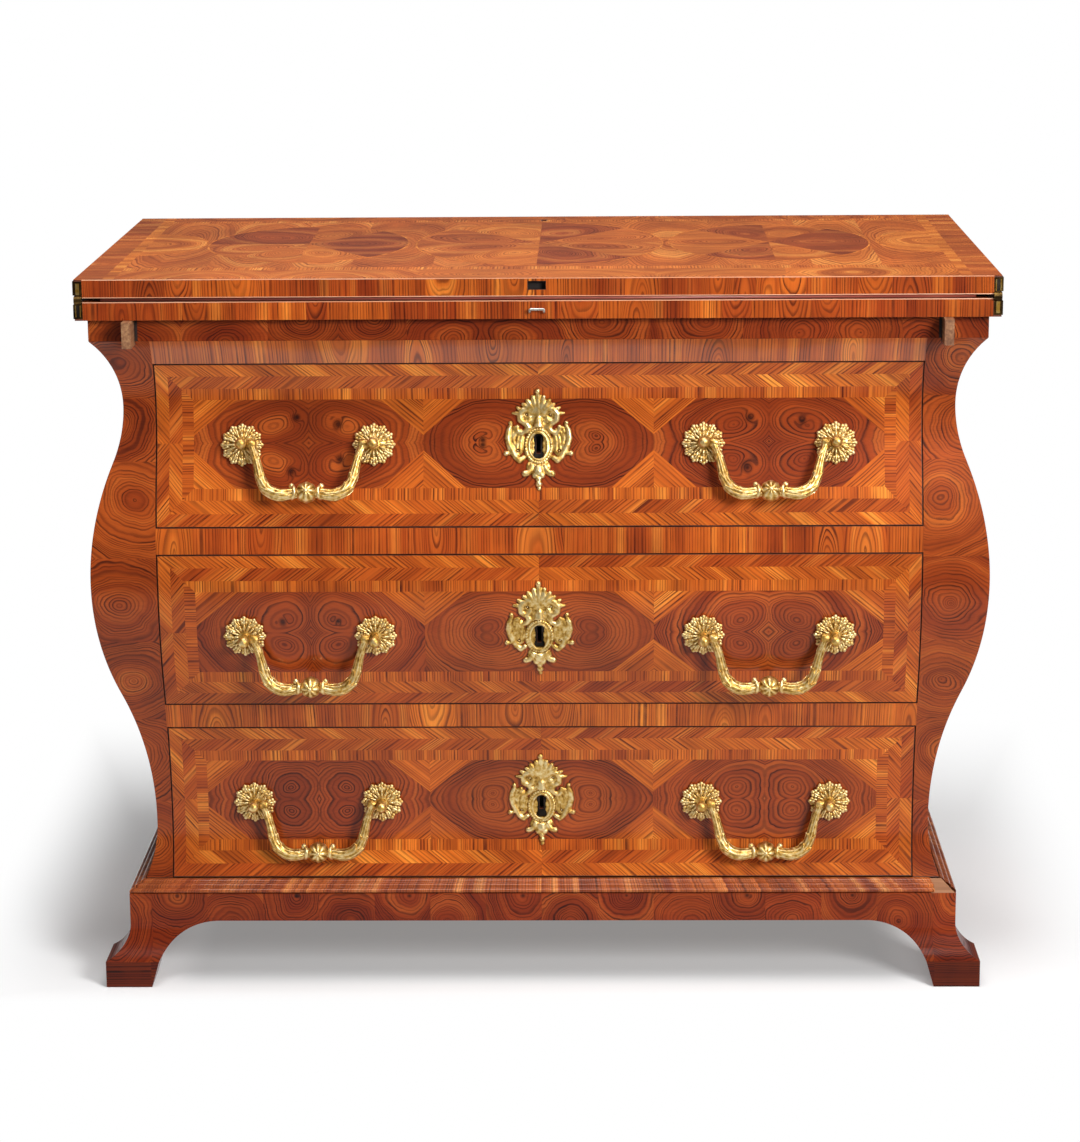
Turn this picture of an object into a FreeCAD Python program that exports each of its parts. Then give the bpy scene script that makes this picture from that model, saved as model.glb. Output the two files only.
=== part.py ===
import FreeCAD, Part
import math
import os
import re
import Sketcher

# Fold-over writing commode. Millimetres. The front looks along -Y, Z is up.
# While building, y = 0 is the plane of the frieze; the last step centres the whole on its own box.

sizes = {
    # the two stacked leaves of the top
    "leaf_width": 1040,
    "leaf_depth": 562,
    "leaf_thickness": 21,
    "leaf_gap": 4.5,
    "leaf_overhang": 12.5,
    "back_overhang": 8,
    # heights of the carcass, from the floor upwards
    "base_top": 120.5,
    "drawer_height": 187,
    "rail_height": 30,
    "frieze_height": 55,
    "stile_width": 68.5,
    # the curved template that the front and both sides follow; heights above base_top
    "frieze_band": 25.5,
    "waist_height": 570.5,
    "waist_recess": 32,
    "bulge_height": 369.5,
    "bulge_reach": 7.5,
    "narrow_height": 66.5,
    "narrow_recess": 51,
    "bottom_recess": 37.5,
    "upper_turn": 0.32,
    "lower_turn": 0.45,
    # boards and joinery of the carcass
    "back_thickness": 12,
    "rail_depth": 80,
    "tenon_length": 14,
    "tenon_shoulder": 6,
    "tenon_setback": 45,
    "tenon_width": 25,
    "dust_thickness": 10,
    "dado_depth": 6,
    "kicker_size": 18,
    "stop_length": 30,
    "stop_depth": 14,
    "stop_height": 5,
    "stop_spacing": 300,
    # base with bracket feet
    "moulding_height": 14,
    "moulding_recess": 36,
    "moulding_back": 46,
    "apron_recess": 19,
    "apron_height": 33.5,
    "apron_thickness": 22,
    "toe_reach": 8,
    "toe_height": 31,
    "toe_width": 63,
    "toe_bottom_width": 54,
    "flare_height": 70,
    "bracket_length": 133,
    # drawers
    "drawer_gap": 1.2,
    "drawer_lift": 0.3,
    "front_thickness": 22,
    "side_thickness": 10,
    "side_drop": 6,
    "tail_length": 12,
    "tail_root": 18,
    "tail_flare": 3,
    "drawer_back_thickness": 10,
    "drawer_back_drop": 8,
    "bottom_thickness": 8,
    "bottom_raise": 8,
    "bottom_tongue": 5,
    "drawer_back_space": 10,
    # handles: a pair of posts with a swinging bail, twice on each drawer
    "handle_offset": 264,
    "post_spacing": 151,
    "fittings_drop": 2,
    "rosette_radius": 24,
    "rosette_thickness": 7,
    "rosette_sink": 0.5,
    "shank_radius": 2.5,
    "neck_radius": 4.5,
    "ball_radius": 6.5,
    "ball_reach": 23,
    "pivot_reach": 14,
    "clamp_depth": 14,
    "nut_radius": 7,
    "nut_thickness": 4,
    "bail_radius": 4.5,
    "bail_inset": 11.5,
    "bail_leg": 20,
    "bail_bend": 42,
    "bail_tilt": 10,
    "bail_knob": 10.5,
    "bail_eye_radius": 5.5,
    "bail_eye_length": 10,
    "bail_pin_radius": 2,
    "bail_pin_bite": 3,
    "running_clearance": 0.05,
    # keyholes, locks and escutcheons
    "keyhole_radius": 4.2,
    "keyhole_slot": 5,
    "keyhole_drop": 17,
    "lock_width": 80,
    "lock_thickness": 13,
    "lock_below_key": 26,
    "selvedge_width": 92,
    "selvedge_thickness": 2.5,
    "bolt_width": 20,
    "bolt_thickness": 6,
    "bolt_length": 30,
    "key_pin_radius": 2,
    "escutcheon_thickness": 3.2,
    "escutcheon_seat": 0.1,
    "escutcheon_width": 78,
    "escutcheon_height": 114,
    "crest_radius": 8.7,
    "drop_radius": 5.2,
    # lopers that carry the open leaf
    "loper_wall": 16.5,
    "loper_thickness": 10.5,
    "loper_height": 29.5,
    "loper_length": 420,
    "loper_proud": 28,
    "loper_travel": 300,
    "loper_clearance": 0.4,
    "loper_play": 0.3,
    "peg_radius": 3,
    "peg_height": 5,
    "peg_inset": 20,
    # hinges at the front corners of the leaves
    "hinge_width": 9,
    "hinge_length": 45,
    "hinge_proud": 1.5,
    "hinge_margin": 2,
    "hinge_forward": 0.25,
    "knuckle_radius": 4.8,
    "knuckle_clearance": 0.6,
    "knuckle_play": 0.2,
    "tongue_width": 3,
    "neck_depth": 4.1,
    "hinge_recess": 0.4,
    "pin_radius": 1.6,
    # staple on the lower leaf and its slot in the upper leaf
    "staple_width": 19,
    "staple_height": 7,
    "staple_reach": 6.5,
    "staple_wire": 3,
    "staple_depth": 12,
    "staple_drop": 14,
    "slot_clearance": 0.7,
    # writing bed under the upper leaf, its leather, and the lock of the leaf
    "bed_clearance": 0.3,
    "bed_inset": 29,
    "bed_setback": 2,
    "bed_back": 20,
    "leather_margin": 45,
    "leather_thickness": 1,
    "leather_recess": 1.2,
    "leaf_lock_inset": 44,
    "leaf_lock_width": 60,
    "leaf_lock_depth": 40,
    "leaf_lock_height": 12,
    "leaf_lock_space": 8,
    "leaf_bolt_width": 14,
    "leaf_bolt_drop": 2.5,
    "leaf_key_radius": 3.5,
    "strike_width": 40,
    "strike_depth": 16,
    "strike_thickness": 1.5,
    "strike_mortise": 8,
}
tail_count = 4
reed_count = 3
reed_roundness = 0.58  # radius of a reed as a share of its chord
bead_roundness = 0.55  # radius of the bed's front edge as a share of its thickness
recess_steps = 24  # heights at which a drawer opening is searched for its deepest recess
drawer_names = ("bottom", "middle", "top")
hands = (("left", -1), ("right", 1))

doc = FreeCAD.newDocument("secretary_commode")
sheet = doc.addObject("Spreadsheet::Sheet", "dims")
for row, (alias, value) in enumerate(sizes.items(), start=1):
    sheet.set("A%d" % row, alias)
    sheet.set("B%d" % row, str(value))
    sheet.setAlias("B%d" % row, alias)
doc.recompute()

alias_words = re.compile(r"\b(" + "|".join(sizes) + r")\b")
V = FreeCAD.Vector
exports = []


def bound(text):
    # a formula in size names, written for objects outside the sheet
    return alias_words.sub(r"dims.\1", text)


def size(text):
    return float(sheet.evalExpression(bound(text)))


def node(shape_object, label):
    shape_object.Label = label
    exports.append(shape_object)
    return shape_object


def place(thing, corner):
    for axis, text in zip("xyz", corner):
        thing.setExpression("Placement.Base." + axis, bound(text))


def box(corner, extent, name="block"):
    block = doc.addObject("Part::Box", name)
    for prop, text in zip(("Length", "Width", "Height"), extent):
        block.setExpression(prop, bound(text))
    place(block, corner)
    return block


def rod(along, radius, length, corner, name="rod"):
    # a cylinder that starts at corner and runs along +X, +Y or +Z
    turns = {"x": (V(0, 1, 0), 90), "y": (V(1, 0, 0), -90), "z": (V(0, 0, 1), 0)}
    cylinder = doc.addObject("Part::Cylinder", name)
    cylinder.Placement = FreeCAD.Placement(V(), FreeCAD.Rotation(*turns[along]))
    cylinder.setExpression("Radius", bound(radius))
    cylinder.setExpression("Height", bound(length))
    place(cylinder, corner)
    return cylinder


def joined(kind, pieces, name):
    result = doc.addObject("Part::" + kind, name)
    if kind == "Compound":
        result.Links = pieces
    else:
        result.Shapes = pieces
    return result


def fuse(*pieces):
    return joined("MultiFuse", list(pieces), "fused")


def common(*pieces):
    return joined("MultiCommon", list(pieces), "shared")


def group(*pieces):
    return joined("Compound", list(pieces), "set")


def cut(base, *tools):
    result = doc.addObject("Part::Cut", "cut")
    result.Base = base
    result.Tool = tools[0] if len(tools) == 1 else fuse(*tools)
    return result


def mirrored(source):
    result = doc.addObject("Part::Mirroring", "mirror")
    result.Source = source
    result.Normal = V(1, 0, 0)
    return result


def arc_between(start, end, bend):
    # an anticlockwise arc, and whether it runs from start to end
    # bend: ("level", 0 or 1) centre at the height of that end, ("plumb", 0 or 1) centre above or below
    # it, ("round", radius text, side) centre on that side of the chord
    chord = end - start
    if bend[0] == "round":
        radius = size(bend[1])
        middle = (start + end) * 0.5
        across = V(-chord.y, chord.x, 0).normalize() * bend[2]
        centre = middle + across * math.sqrt(radius ** 2 - chord.Length ** 2 / 4)
    else:
        anchor, other = (start, end) if bend[1] == 0 else (end, start)
        span = other - anchor
        reach = span.x if bend[0] == "level" else span.y
        offset = (span.x ** 2 + span.y ** 2) / (2 * reach)
        centre = anchor + (V(offset, 0, 0) if bend[0] == "level" else V(0, offset, 0))
    first = math.atan2(start.y - centre.y, start.x - centre.x)
    last = math.atan2(end.y - centre.y, end.x - centre.x)
    turn = (last - first) % (2 * math.pi)
    forward = turn < math.pi
    if not forward:
        first, turn = last, 2 * math.pi - turn
    circle = Part.Circle(centre, V(0, 0, 1), (start - centre).Length)
    return Part.ArcOfCircle(circle, first, first + turn), forward


def outline(sketch, corners):
    # each corner is (u text, v text, bend of the edge that leaves it, or None for a straight edge)
    points = [V(size(u), size(v), 0) for u, v, bend in corners]
    ends = []
    for index, (u, v, bend) in enumerate(corners):
        start, end = points[index], points[(index + 1) % len(points)]
        edge, forward = Part.LineSegment(start, end), True
        if bend is not None:
            edge, forward = arc_between(start, end, bend)
        sketch.addGeometry(edge, False)
        ends.append((1, 2) if forward else (2, 1))
    for index, (u, v, bend) in enumerate(corners):
        following = (index + 1) % len(corners)
        meeting = (index, ends[index][1], following, ends[following][0])
        sketch.addConstraint(Sketcher.Constraint("Coincident", *meeting))
        for kind, text in (("DistanceX", u), ("DistanceY", v)):
            value = size(text)
            row = sketch.addConstraint(Sketcher.Constraint(kind, -1, 1, index, ends[index][0], value))
            sketch.setExpression("Constraints[%d]" % row, bound(text))
        if bend is None:
            continue
        if bend[0] == "round":
            row = sketch.addConstraint(Sketcher.Constraint("Radius", index, size(bend[1])))
            sketch.setExpression("Constraints[%d]" % row, bound(bend[1]))
        else:
            kind = "Horizontal" if bend[0] == "level" else "Vertical"
            sketch.addConstraint(Sketcher.Constraint(kind, index, 3, index, ends[index][bend[1]]))


def pad(plane, corners, length, base, name="pad"):
    # an outline on one origin plane, padded by length; XZ pads run towards -Y from base
    body = doc.addObject("PartDesign::Body", name)
    sketch = body.newObject("Sketcher::SketchObject", name + "_outline")
    support = [part for part in body.Origin.OriginFeatures if part.Role == plane + "_Plane"][0]
    sketch.AttachmentSupport = [(support, "")]
    sketch.MapMode = "FlatFace"
    outline(sketch, corners)
    feature = body.newObject("PartDesign::Pad", name + "_pad")
    feature.Profile = sketch
    feature.setExpression("Length", bound(length))
    place(body, base)
    return body


# Named places, worked out from the sizes
leaf_half = "(leaf_width / 2)"
frieze_half = "(leaf_width / 2 - leaf_overhang)"
opening_half = "(leaf_width / 2 - leaf_overhang - stile_width)"
leaf_front = "(0 - leaf_overhang)"
leaf_back = "(leaf_depth - leaf_overhang)"
carcass_back = "(leaf_depth - leaf_overhang - back_overhang)"
back_inner = "(leaf_depth - leaf_overhang - back_overhang - back_thickness)"
drawer_pitch = "(drawer_height + rail_height)"
carcass_top = "(base_top + 3 * drawer_height + 2 * rail_height + frieze_height)"
lower_leaf_top = "(" + carcass_top + " + leaf_thickness)"
upper_leaf_bottom = "(" + carcass_top + " + leaf_thickness + leaf_gap)"
hinge_y = "(0 - leaf_overhang - hinge_forward)"
hinge_z = "(" + carcass_top + " + leaf_thickness + leaf_gap / 2)"
crease_z = "(" + carcass_top + " - frieze_band)"
waist_z = "(base_top + waist_height)"
bulge_z = "(base_top + bulge_height)"
narrow_z = "(base_top + narrow_height)"
openings = {name: "(base_top + %d * %s)" % (row, drawer_pitch) for row, name in enumerate(drawer_names)}

# The template: recess behind the frieze plane against height, as arcs that run smoothly into each other
upper_turn_u = "(waist_recess - upper_turn * (waist_recess + bulge_reach))"
upper_turn_z = "(base_top + waist_height - upper_turn * (waist_height - bulge_height))"
lower_turn_u = "(0 - bulge_reach + lower_turn * (narrow_recess + bulge_reach))"
lower_turn_z = "(base_top + bulge_height - lower_turn * (bulge_height - narrow_height))"
template = (
    ("bottom_recess", "base_top", ("level", 1)),
    ("narrow_recess", narrow_z, ("level", 0)),
    (lower_turn_u, lower_turn_z, ("level", 1)),
    ("(0 - bulge_reach)", bulge_z, ("level", 0)),
    (upper_turn_u, upper_turn_z, ("level", 1)),
    ("waist_recess", waist_z, ("level", 0)),
    ("0", crease_z, None),
)


def surface(z):
    # recess of the template at a height, and the angle by which the surface faces upwards
    for low, high in zip(template, template[1:]):
        low_z, high_z = size(low[1]), size(high[1])
        if low_z <= z <= high_z:
            anchor, other = (low, high) if low[2][1] == 0 else (high, low)
            across = size(other[0]) - size(anchor[0])
            along = size(other[1]) - size(anchor[1])
            radius = (across ** 2 + along ** 2) / (2 * across)
            rise = z - size(anchor[1])
            root = math.copysign(math.sqrt(radius ** 2 - rise ** 2), radius)
            return size(anchor[0]) + radius - root, math.degrees(math.atan(rise / root))
    return 0.0, 0.0


def downwards(place_text):
    # the template run from top to bottom, with place_text turning each recess into a position
    run = []
    for index in range(len(template) - 1, -1, -1):
        u, v, bend = template[index]
        edge_below = template[index - 1][2] if index else None
        turned = None if edge_below is None else (edge_below[0], 1 - edge_below[1])
        run.append((place_text % u, v, turned))
    return run


# The envelope of the carcass: the front template and the side template meet at sharp corners
front_corners = list(template) + [
    ("0", carcass_top, None),
    (carcass_back, carcass_top, None),
    (carcass_back, "base_top", None),
]
front_form = pad("YZ", front_corners, "leaf_width", ("0 - leaf_width / 2", "0", "0"), "front_form")
side_corners = [("(%s - %s)" % (frieze_half, u), v, bend) for u, v, bend in template]
side_corners.append((frieze_half, carcass_top, None))
side_corners.append(("(0 - %s)" % frieze_half, carcass_top, None))
side_corners += downwards("(%s - " + frieze_half + ")")
side_form = pad("XZ", side_corners, "leaf_depth + 2 * bulge_reach", ("0", leaf_back, "0"), "side_form")
envelope = common(front_form, side_form)


def slab(half_width, near, far, low, high):
    # a block across the front, from one depth to another
    return box(
        ("0 - (%s)" % half_width, near, low),
        ("2 * (%s)" % half_width, "%s - (%s)" % (far, near), "%s - (%s)" % (high, low)),
    )


ahead = "(0 - 2 * bulge_reach - leaf_overhang)"

# Rails across the front, with a tenon at each end
rail_spans = {
    "lower_drawer_rail": ("(%s + drawer_height)" % openings["bottom"], openings["middle"]),
    "upper_drawer_rail": ("(%s + drawer_height)" % openings["middle"], openings["top"]),
    "frieze_rail": ("(%s + drawer_height)" % openings["top"], carcass_top),
}
rail_above = {"bottom": "lower_drawer_rail", "middle": "upper_drawer_rail", "top": "frieze_rail"}
front_inner = {}
for name in drawer_names:
    low = size(openings[name])
    steps = [low + step / recess_steps * size("drawer_height") for step in range(recess_steps + 1)]
    deepest = max(surface(z)[0] for z in steps)
    front_inner[name] = "(%.4f + front_thickness)" % deepest
rail_blanks = {}
tenons = []
for label, (low, high) in rail_spans.items():
    blank = common(envelope, slab(opening_half, ahead, "rail_depth", low, high))
    tenon = slab(
        opening_half + " + tenon_length",
        "tenon_setback",
        "tenon_setback + tenon_width",
        low + " + tenon_shoulder",
        high + " - tenon_shoulder",
    )
    tenons.append(tenon)
    rail_blanks[label] = fuse(blank, tenon)
for name in drawer_names:
    label = rail_above[name]
    low = rail_spans[label][0]
    mortise = slab(
        "bolt_width / 2 + drawer_gap",
        front_inner[name] + " - lock_thickness",
        front_inner[name],
        low,
        low + " + bolt_thickness",
    )
    node(cut(rail_blanks[label], mortise), label)

# Dust boards behind the two drawer rails, let into the side panels
dust_boards = []
for name in ("middle", "top"):
    low = openings[name] + " - dust_thickness"
    dust_boards.append(slab(opening_half + " + dado_depth", "rail_depth", back_inner, low, openings[name]))
node(group(*dust_boards), "dust_boards")

# Side panels: thick stock shaped outside, flat inside, with a groove for the loper in the top edge
loper_inner = "(%s + loper_wall)" % opening_half
loper_top = "(%s - loper_play)" % carcass_top
side_block = box(
    (opening_half, ahead, "base_top"),
    ("leaf_width", "leaf_depth + 2 * leaf_overhang", carcass_top + " - base_top"),
)
loper_groove = box(
    (loper_inner + " - loper_clearance", ahead, carcass_top + " - loper_height - loper_clearance"),
    (
        "loper_thickness + 2 * loper_clearance",
        "loper_length - loper_proud + loper_clearance - " + ahead,
        "loper_height + 2 * loper_clearance",
    ),
)
right_panel = cut(common(envelope, side_block), loper_groove, *tenons, *dust_boards)
node(right_panel, "right_side_panel")
node(mirrored(right_panel), "left_side_panel")
node(slab(opening_half, back_inner, carcass_back, "base_top", carcass_top), "back_panel")

# Kickers that keep the top drawer level, and stops that catch the drawer fronts
kicker_low = "(%s + drawer_height)" % openings["top"]
kicker = box(
    (opening_half + " - kicker_size", "rail_depth", kicker_low),
    ("kicker_size", back_inner + " - rail_depth", "kicker_size"),
)
node(group(kicker, mirrored(kicker)), "drawer_kickers")
stops = []
for name in drawer_names:
    stop = box(
        ("stop_spacing / 2", front_inner[name] + " + drawer_lift", openings[name]),
        ("stop_length", "stop_depth", "stop_height"),
    )
    stops += [stop, mirrored(stop)]
node(group(*stops), "drawer_stops")

# Base: board, reeded moulding with mitred corners, aprons and bracket feet
apron_top = "(base_top - moulding_height)"
apron_low = "(base_top - moulding_height - apron_height)"
reed_chord = "sqrt((moulding_recess - apron_recess)^2 + moulding_height^2) / %d" % reed_count
reed_radius = "(%s * %s)" % (reed_roundness, reed_chord)


def moulding_corners(depth_text, side, far):
    corners = []
    for step in range(reed_count + 1):
        share = "%d / %d" % (step, reed_count)
        recess = "(apron_recess + %s * (moulding_recess - apron_recess))" % share
        height = "(%s + %s * moulding_height)" % (apron_top, share)
        bend = ("round", reed_radius, side) if step < reed_count else None
        corners.append((depth_text % recess, height, bend))
    corners.append((far, "base_top", None))
    corners.append((far, apron_top, None))
    return corners


front_reeds = pad("YZ", moulding_corners("%s", -1, carcass_back), "leaf_width",
                  ("0 - leaf_width / 2", "0", "0"), "front_reeds")
right_reeds = pad("XZ", moulding_corners("(" + frieze_half + " - %s)", 1, "0"), "leaf_depth",
                  ("0", carcass_back, "0"), "right_reeds")
reed_solid = common(front_reeds, fuse(right_reeds, mirrored(right_reeds)))
board_half = "(%s - moulding_back)" % frieze_half
base_board = slab(board_half, "moulding_back", carcass_back, apron_top, "base_top")
moulding_ring = cut(reed_solid, base_board)
mitre_corners = (
    ("(0 - %s)" % frieze_half, "0", None),
    (frieze_half, "0", None),
    (board_half, "moulding_back", None),
    ("(0 - %s)" % board_half, "moulding_back", None),
)
mitre = pad("XY", mitre_corners, "base_top", ("0", "0", "0"), "mitre")
node(base_board, "base_board")
node(group(common(moulding_ring, mitre), cut(moulding_ring, mitre)), "base_moulding")


def foot_corners(place_text, flared):
    # place_text turns a distance from the tip of the toe into a position; a flat foot stands on the wall side
    shoulder = "(apron_recess + toe_reach)"
    outer = [(place_text % "0", "0", None)]
    if flared:
        outer.append((place_text % "0", "toe_height", ("level", 1)))
        outer.append((place_text % shoulder, "flare_height", None))
        outer.append((place_text % shoulder, apron_top, None))
    else:
        outer.append((place_text % "0", apron_top, None))
    inner = [
        (place_text % "bracket_length", apron_top, None),
        (place_text % "bracket_length", apron_low, ("plumb", 0)),
        (place_text % "toe_width", "toe_height", None),
        (place_text % "toe_bottom_width", "0", None),
    ]
    return outer + inner


toe_half = "(leaf_width / 2 - leaf_overhang + toe_reach)"
foot_across = pad("XZ", foot_corners("(" + toe_half + " - %s)", True), "leaf_depth + toe_reach",
                  ("0", carcass_back, "0"), "foot_across")
foot_front = pad("YZ", foot_corners("(%s - toe_reach)", True), toe_half, ("0", "0", "0"), "foot_front")
foot_back = pad("YZ", foot_corners("(" + carcass_back + " - %s)", False), toe_half,
                ("0", "0", "0"), "foot_back")
for end, form in (("front", foot_front), ("back", foot_back)):
    foot = common(foot_across, form)
    node(foot, "%s_right_foot" % end)
    node(mirrored(foot), "%s_left_foot" % end)
bracket_half = "(%s - bracket_length)" % toe_half
apron_half = "(%s - apron_recess)" % frieze_half
front_apron = slab(bracket_half, "apron_recess", "apron_recess + apron_thickness", apron_low, apron_top)
back_apron = slab(bracket_half, carcass_back + " - apron_thickness", carcass_back, apron_low, apron_top)
node(front_apron, "front_apron")
node(back_apron, "back_apron")
side_apron = box(
    (apron_half + " - apron_thickness", "bracket_length - toe_reach", apron_low),
    ("apron_thickness", carcass_back + " - 2 * bracket_length + toe_reach", "apron_height"),
)
node(group(side_apron, mirrored(side_apron)), "side_aprons")

# Lopers: bars that slide out under the open leaf, each with a peg that runs in a slot of the lower leaf
loper = box(
    (loper_inner, "0 - loper_proud", loper_top + " - loper_height"),
    ("loper_thickness", "loper_length", "loper_height"),
)
peg_x = "(%s + loper_thickness / 2)" % loper_inner
peg_y = "(loper_length - loper_proud - peg_inset)"
peg_hole = rod("z", "peg_radius", "2 * peg_height", (peg_x, peg_y, loper_top + " - peg_height"))
bored_loper = cut(loper, peg_hole)
node(group(bored_loper, peg_hole), "right_loper")
node(group(mirrored(bored_loper), mirrored(peg_hole)), "left_loper")
peg_slot = box(
    (
        peg_x + " - peg_radius - loper_clearance",
        peg_y + " - loper_travel - peg_radius - loper_clearance",
        carcass_top,
    ),
    (
        "2 * (peg_radius + loper_clearance)",
        "loper_travel + 2 * (peg_radius + loper_clearance)",
        "peg_height + loper_clearance",
    ),
)

# Hinges: a tongue on the upper leaf between two ears on the lower leaf, on a pin across the corner
hinge_start = "(leaf_width / 2 - hinge_width)"
tongue_start = "(%s + (hinge_width - tongue_width) / 2)" % hinge_start
tongue_end = "(%s + tongue_width)" % tongue_start
ear_width = "((hinge_width - tongue_width) / 2 - knuckle_play)"
block_rise = "(knuckle_radius + knuckle_clearance)"
block_height = "(leaf_gap / 2 + leaf_thickness - hinge_margin - %s)" % block_rise
block_y = "(%s + hinge_recess)" % leaf_front


def knuckle(start, width, up):
    eye = rod("x", "knuckle_radius", width, (start, hinge_y, hinge_z))
    low = hinge_z if up else "%s - %s" % (hinge_z, block_rise)
    stem = box((start, block_y, low), (width, "neck_depth", block_rise))
    return fuse(eye, stem)


def block_low(up):
    return "%s + %s" % (hinge_z, block_rise) if up else "%s - %s - %s" % (hinge_z, block_rise, block_height)


def hinge_block(up):
    start = (hinge_start, block_y, block_low(up))
    return box(start, ("hinge_width + hinge_proud", "hinge_length", block_height))


def hinge_mouth(up):
    # the wood stands open in front of the block, so its end shows in the edge of the leaf
    start = (hinge_start, leaf_front + " - hinge_recess", block_low(up))
    return box(start, ("hinge_width + hinge_proud", "2 * hinge_recess", block_height))


pin_bore = rod("x", "pin_radius + running_clearance", "leaf_width", ("0", hinge_y, hinge_z))
upper_hinge = cut(fuse(hinge_block(True), knuckle(tongue_start, "tongue_width", True)), pin_bore)
outer_ear = knuckle(tongue_end + " + knuckle_play", ear_width, False)
lower_hinge = cut(fuse(hinge_block(False), knuckle(hinge_start, ear_width, False), outer_ear), pin_bore)
hinge_pin = rod("x", "pin_radius", "hinge_width", (hinge_start, hinge_y, hinge_z))
node(group(upper_hinge, mirrored(upper_hinge)), "upper_hinge_plates")
node(group(lower_hinge, mirrored(lower_hinge)), "lower_hinge_plates")
node(group(hinge_pin, mirrored(hinge_pin)), "hinge_pins")
knuckle_room = rod(
    "x",
    "knuckle_radius + knuckle_clearance",
    "2 * hinge_width",
    (hinge_start + " - knuckle_play", hinge_y, hinge_z),
)

# Staple on the lower leaf; the slot in the upper leaf takes it when the leaf lies open
staple_z = "(%s - staple_drop)" % hinge_z
staple_low = "(%s - staple_height / 2)" % staple_z
staple_front = "(%s - staple_reach)" % leaf_front
bridge = slab(
    "staple_width / 2",
    staple_front,
    staple_front + " + staple_wire",
    staple_low,
    staple_low + " + staple_height",
)
staple_leg = box(
    ("staple_width / 2 - staple_wire", staple_front, staple_low),
    ("staple_wire", "staple_reach + staple_depth", "staple_height"),
)
staple = fuse(bridge, staple_leg, mirrored(staple_leg))
node(staple, "locating_staple")
slot_far = "sqrt((staple_reach + hinge_forward)^2 + (staple_drop + staple_height / 2)^2)"
staple_slot = slab(
    "staple_width / 2 + slot_clearance",
    leaf_front + " - slot_clearance",
    leaf_front + " + staple_reach + 2 * slot_clearance",
    hinge_z + " + staple_drop - staple_height / 2 - slot_clearance",
    hinge_z + " + " + slot_far + " + slot_clearance",
)

# Lock of the upper leaf near the back, with its strike in the lower leaf
lock_centre = "(%s - leaf_lock_inset)" % leaf_back
lock_case = box(
    ("0 - leaf_lock_width / 2", lock_centre + " - leaf_lock_depth / 2", upper_leaf_bottom),
    ("leaf_lock_width", "leaf_lock_depth", "leaf_lock_height"),
)
leaf_bolt = box(
    (
        "0 - leaf_bolt_width / 2",
        lock_centre + " - bolt_thickness / 2",
        upper_leaf_bottom + " - leaf_bolt_drop",
    ),
    ("leaf_bolt_width", "bolt_thickness", "leaf_bolt_drop"),
)
leaf_key_bore = rod(
    "z",
    "leaf_key_radius",
    "leaf_thickness",
    ("0", lock_centre, upper_leaf_bottom + " + leaf_lock_height / 2"),
)
leaf_key_slot = box(
    ("0 - keyhole_slot / 2", lock_centre, upper_leaf_bottom + " + leaf_lock_height / 2"),
    ("keyhole_slot", "keyhole_drop - keyhole_slot", "leaf_thickness"),
)
node(cut(fuse(lock_case, leaf_bolt), leaf_key_bore, leaf_key_slot), "leaf_lock")
strike_plate = box(
    ("0 - strike_width / 2", lock_centre + " - strike_depth / 2", lower_leaf_top + " - strike_thickness"),
    ("strike_width", "strike_depth", "strike_thickness"),
)
strike_mouth = box(
    (
        "0 - leaf_bolt_width / 2 - drawer_gap",
        lock_centre + " - bolt_thickness / 2 - drawer_gap",
        lower_leaf_top + " - strike_mortise",
    ),
    ("leaf_bolt_width + 2 * drawer_gap", "bolt_thickness + 2 * drawer_gap", "strike_mortise"),
)
node(cut(strike_plate, strike_mouth), "leaf_strike_plate")

# The leaves, the writing bed with its rounded front edge, and the leather let into it
upper_leaf_top = upper_leaf_bottom + " + leaf_thickness"
upper_board = slab(leaf_half, leaf_front, leaf_back, upper_leaf_bottom, upper_leaf_top)
lower_board = slab(leaf_half, leaf_front, leaf_back, carcass_top, lower_leaf_top)
rooms = (knuckle_room, mirrored(knuckle_room))
upper_fittings = (upper_hinge, mirrored(upper_hinge), staple_slot, lock_case, leaf_key_bore, leaf_key_slot)
lower_fittings = (
    lower_hinge,
    mirrored(lower_hinge),
    staple,
    strike_plate,
    strike_mouth,
    peg_slot,
    mirrored(peg_slot),
)
upper_mouth = hinge_mouth(True)
lower_mouth = hinge_mouth(False)
node(cut(upper_board, *rooms, upper_mouth, mirrored(upper_mouth), *upper_fittings), "upper_leaf")
node(cut(lower_board, *rooms, lower_mouth, mirrored(lower_mouth), *lower_fittings), "lower_leaf")
bed_low = "(%s + bed_clearance)" % lower_leaf_top
bed_half = "(leaf_width / 2 - bed_inset)"
bed_thickness = "(leaf_gap - bed_clearance)"
bed_front = "(%s + bed_setback + %s / 2)" % (leaf_front, bed_thickness)
bed_end = "(%s - bed_back)" % leaf_back
bed_corners = (
    (bed_front, bed_low, None),
    (bed_end, bed_low, None),
    (bed_end, upper_leaf_bottom, None),
    (bed_front, upper_leaf_bottom, ("round", "(%s * %s)" % (bead_roundness, bed_thickness), 1)),
)
bed_board = pad("YZ", bed_corners, "2 * " + bed_half, ("0 - " + bed_half, "0", "0"), "bed_board")
lock_space = slab(
    "leaf_lock_width / 2 + leaf_lock_space",
    lock_centre + " - leaf_lock_depth / 2 - leaf_lock_space",
    leaf_back,
    bed_low + " - leaf_gap",
    upper_leaf_bottom,
)
leather_half = "(%s - leather_margin)" % bed_half
leather_front = "(%s + bed_setback + leather_margin)" % leaf_front
leather_back = "(%s - leaf_lock_depth / 2 - leaf_lock_space - leather_margin)" % lock_centre
leather_top = "(%s + leather_recess)" % bed_low
leather_room = slab(leather_half, leather_front, leather_back, bed_low + " - leaf_gap", leather_top)
node(cut(bed_board, lock_space, leather_room), "writing_bed")
node(slab(leather_half, leather_front, leather_back, leather_top + " - leather_thickness", leather_top),
     "writing_leather")

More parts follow.
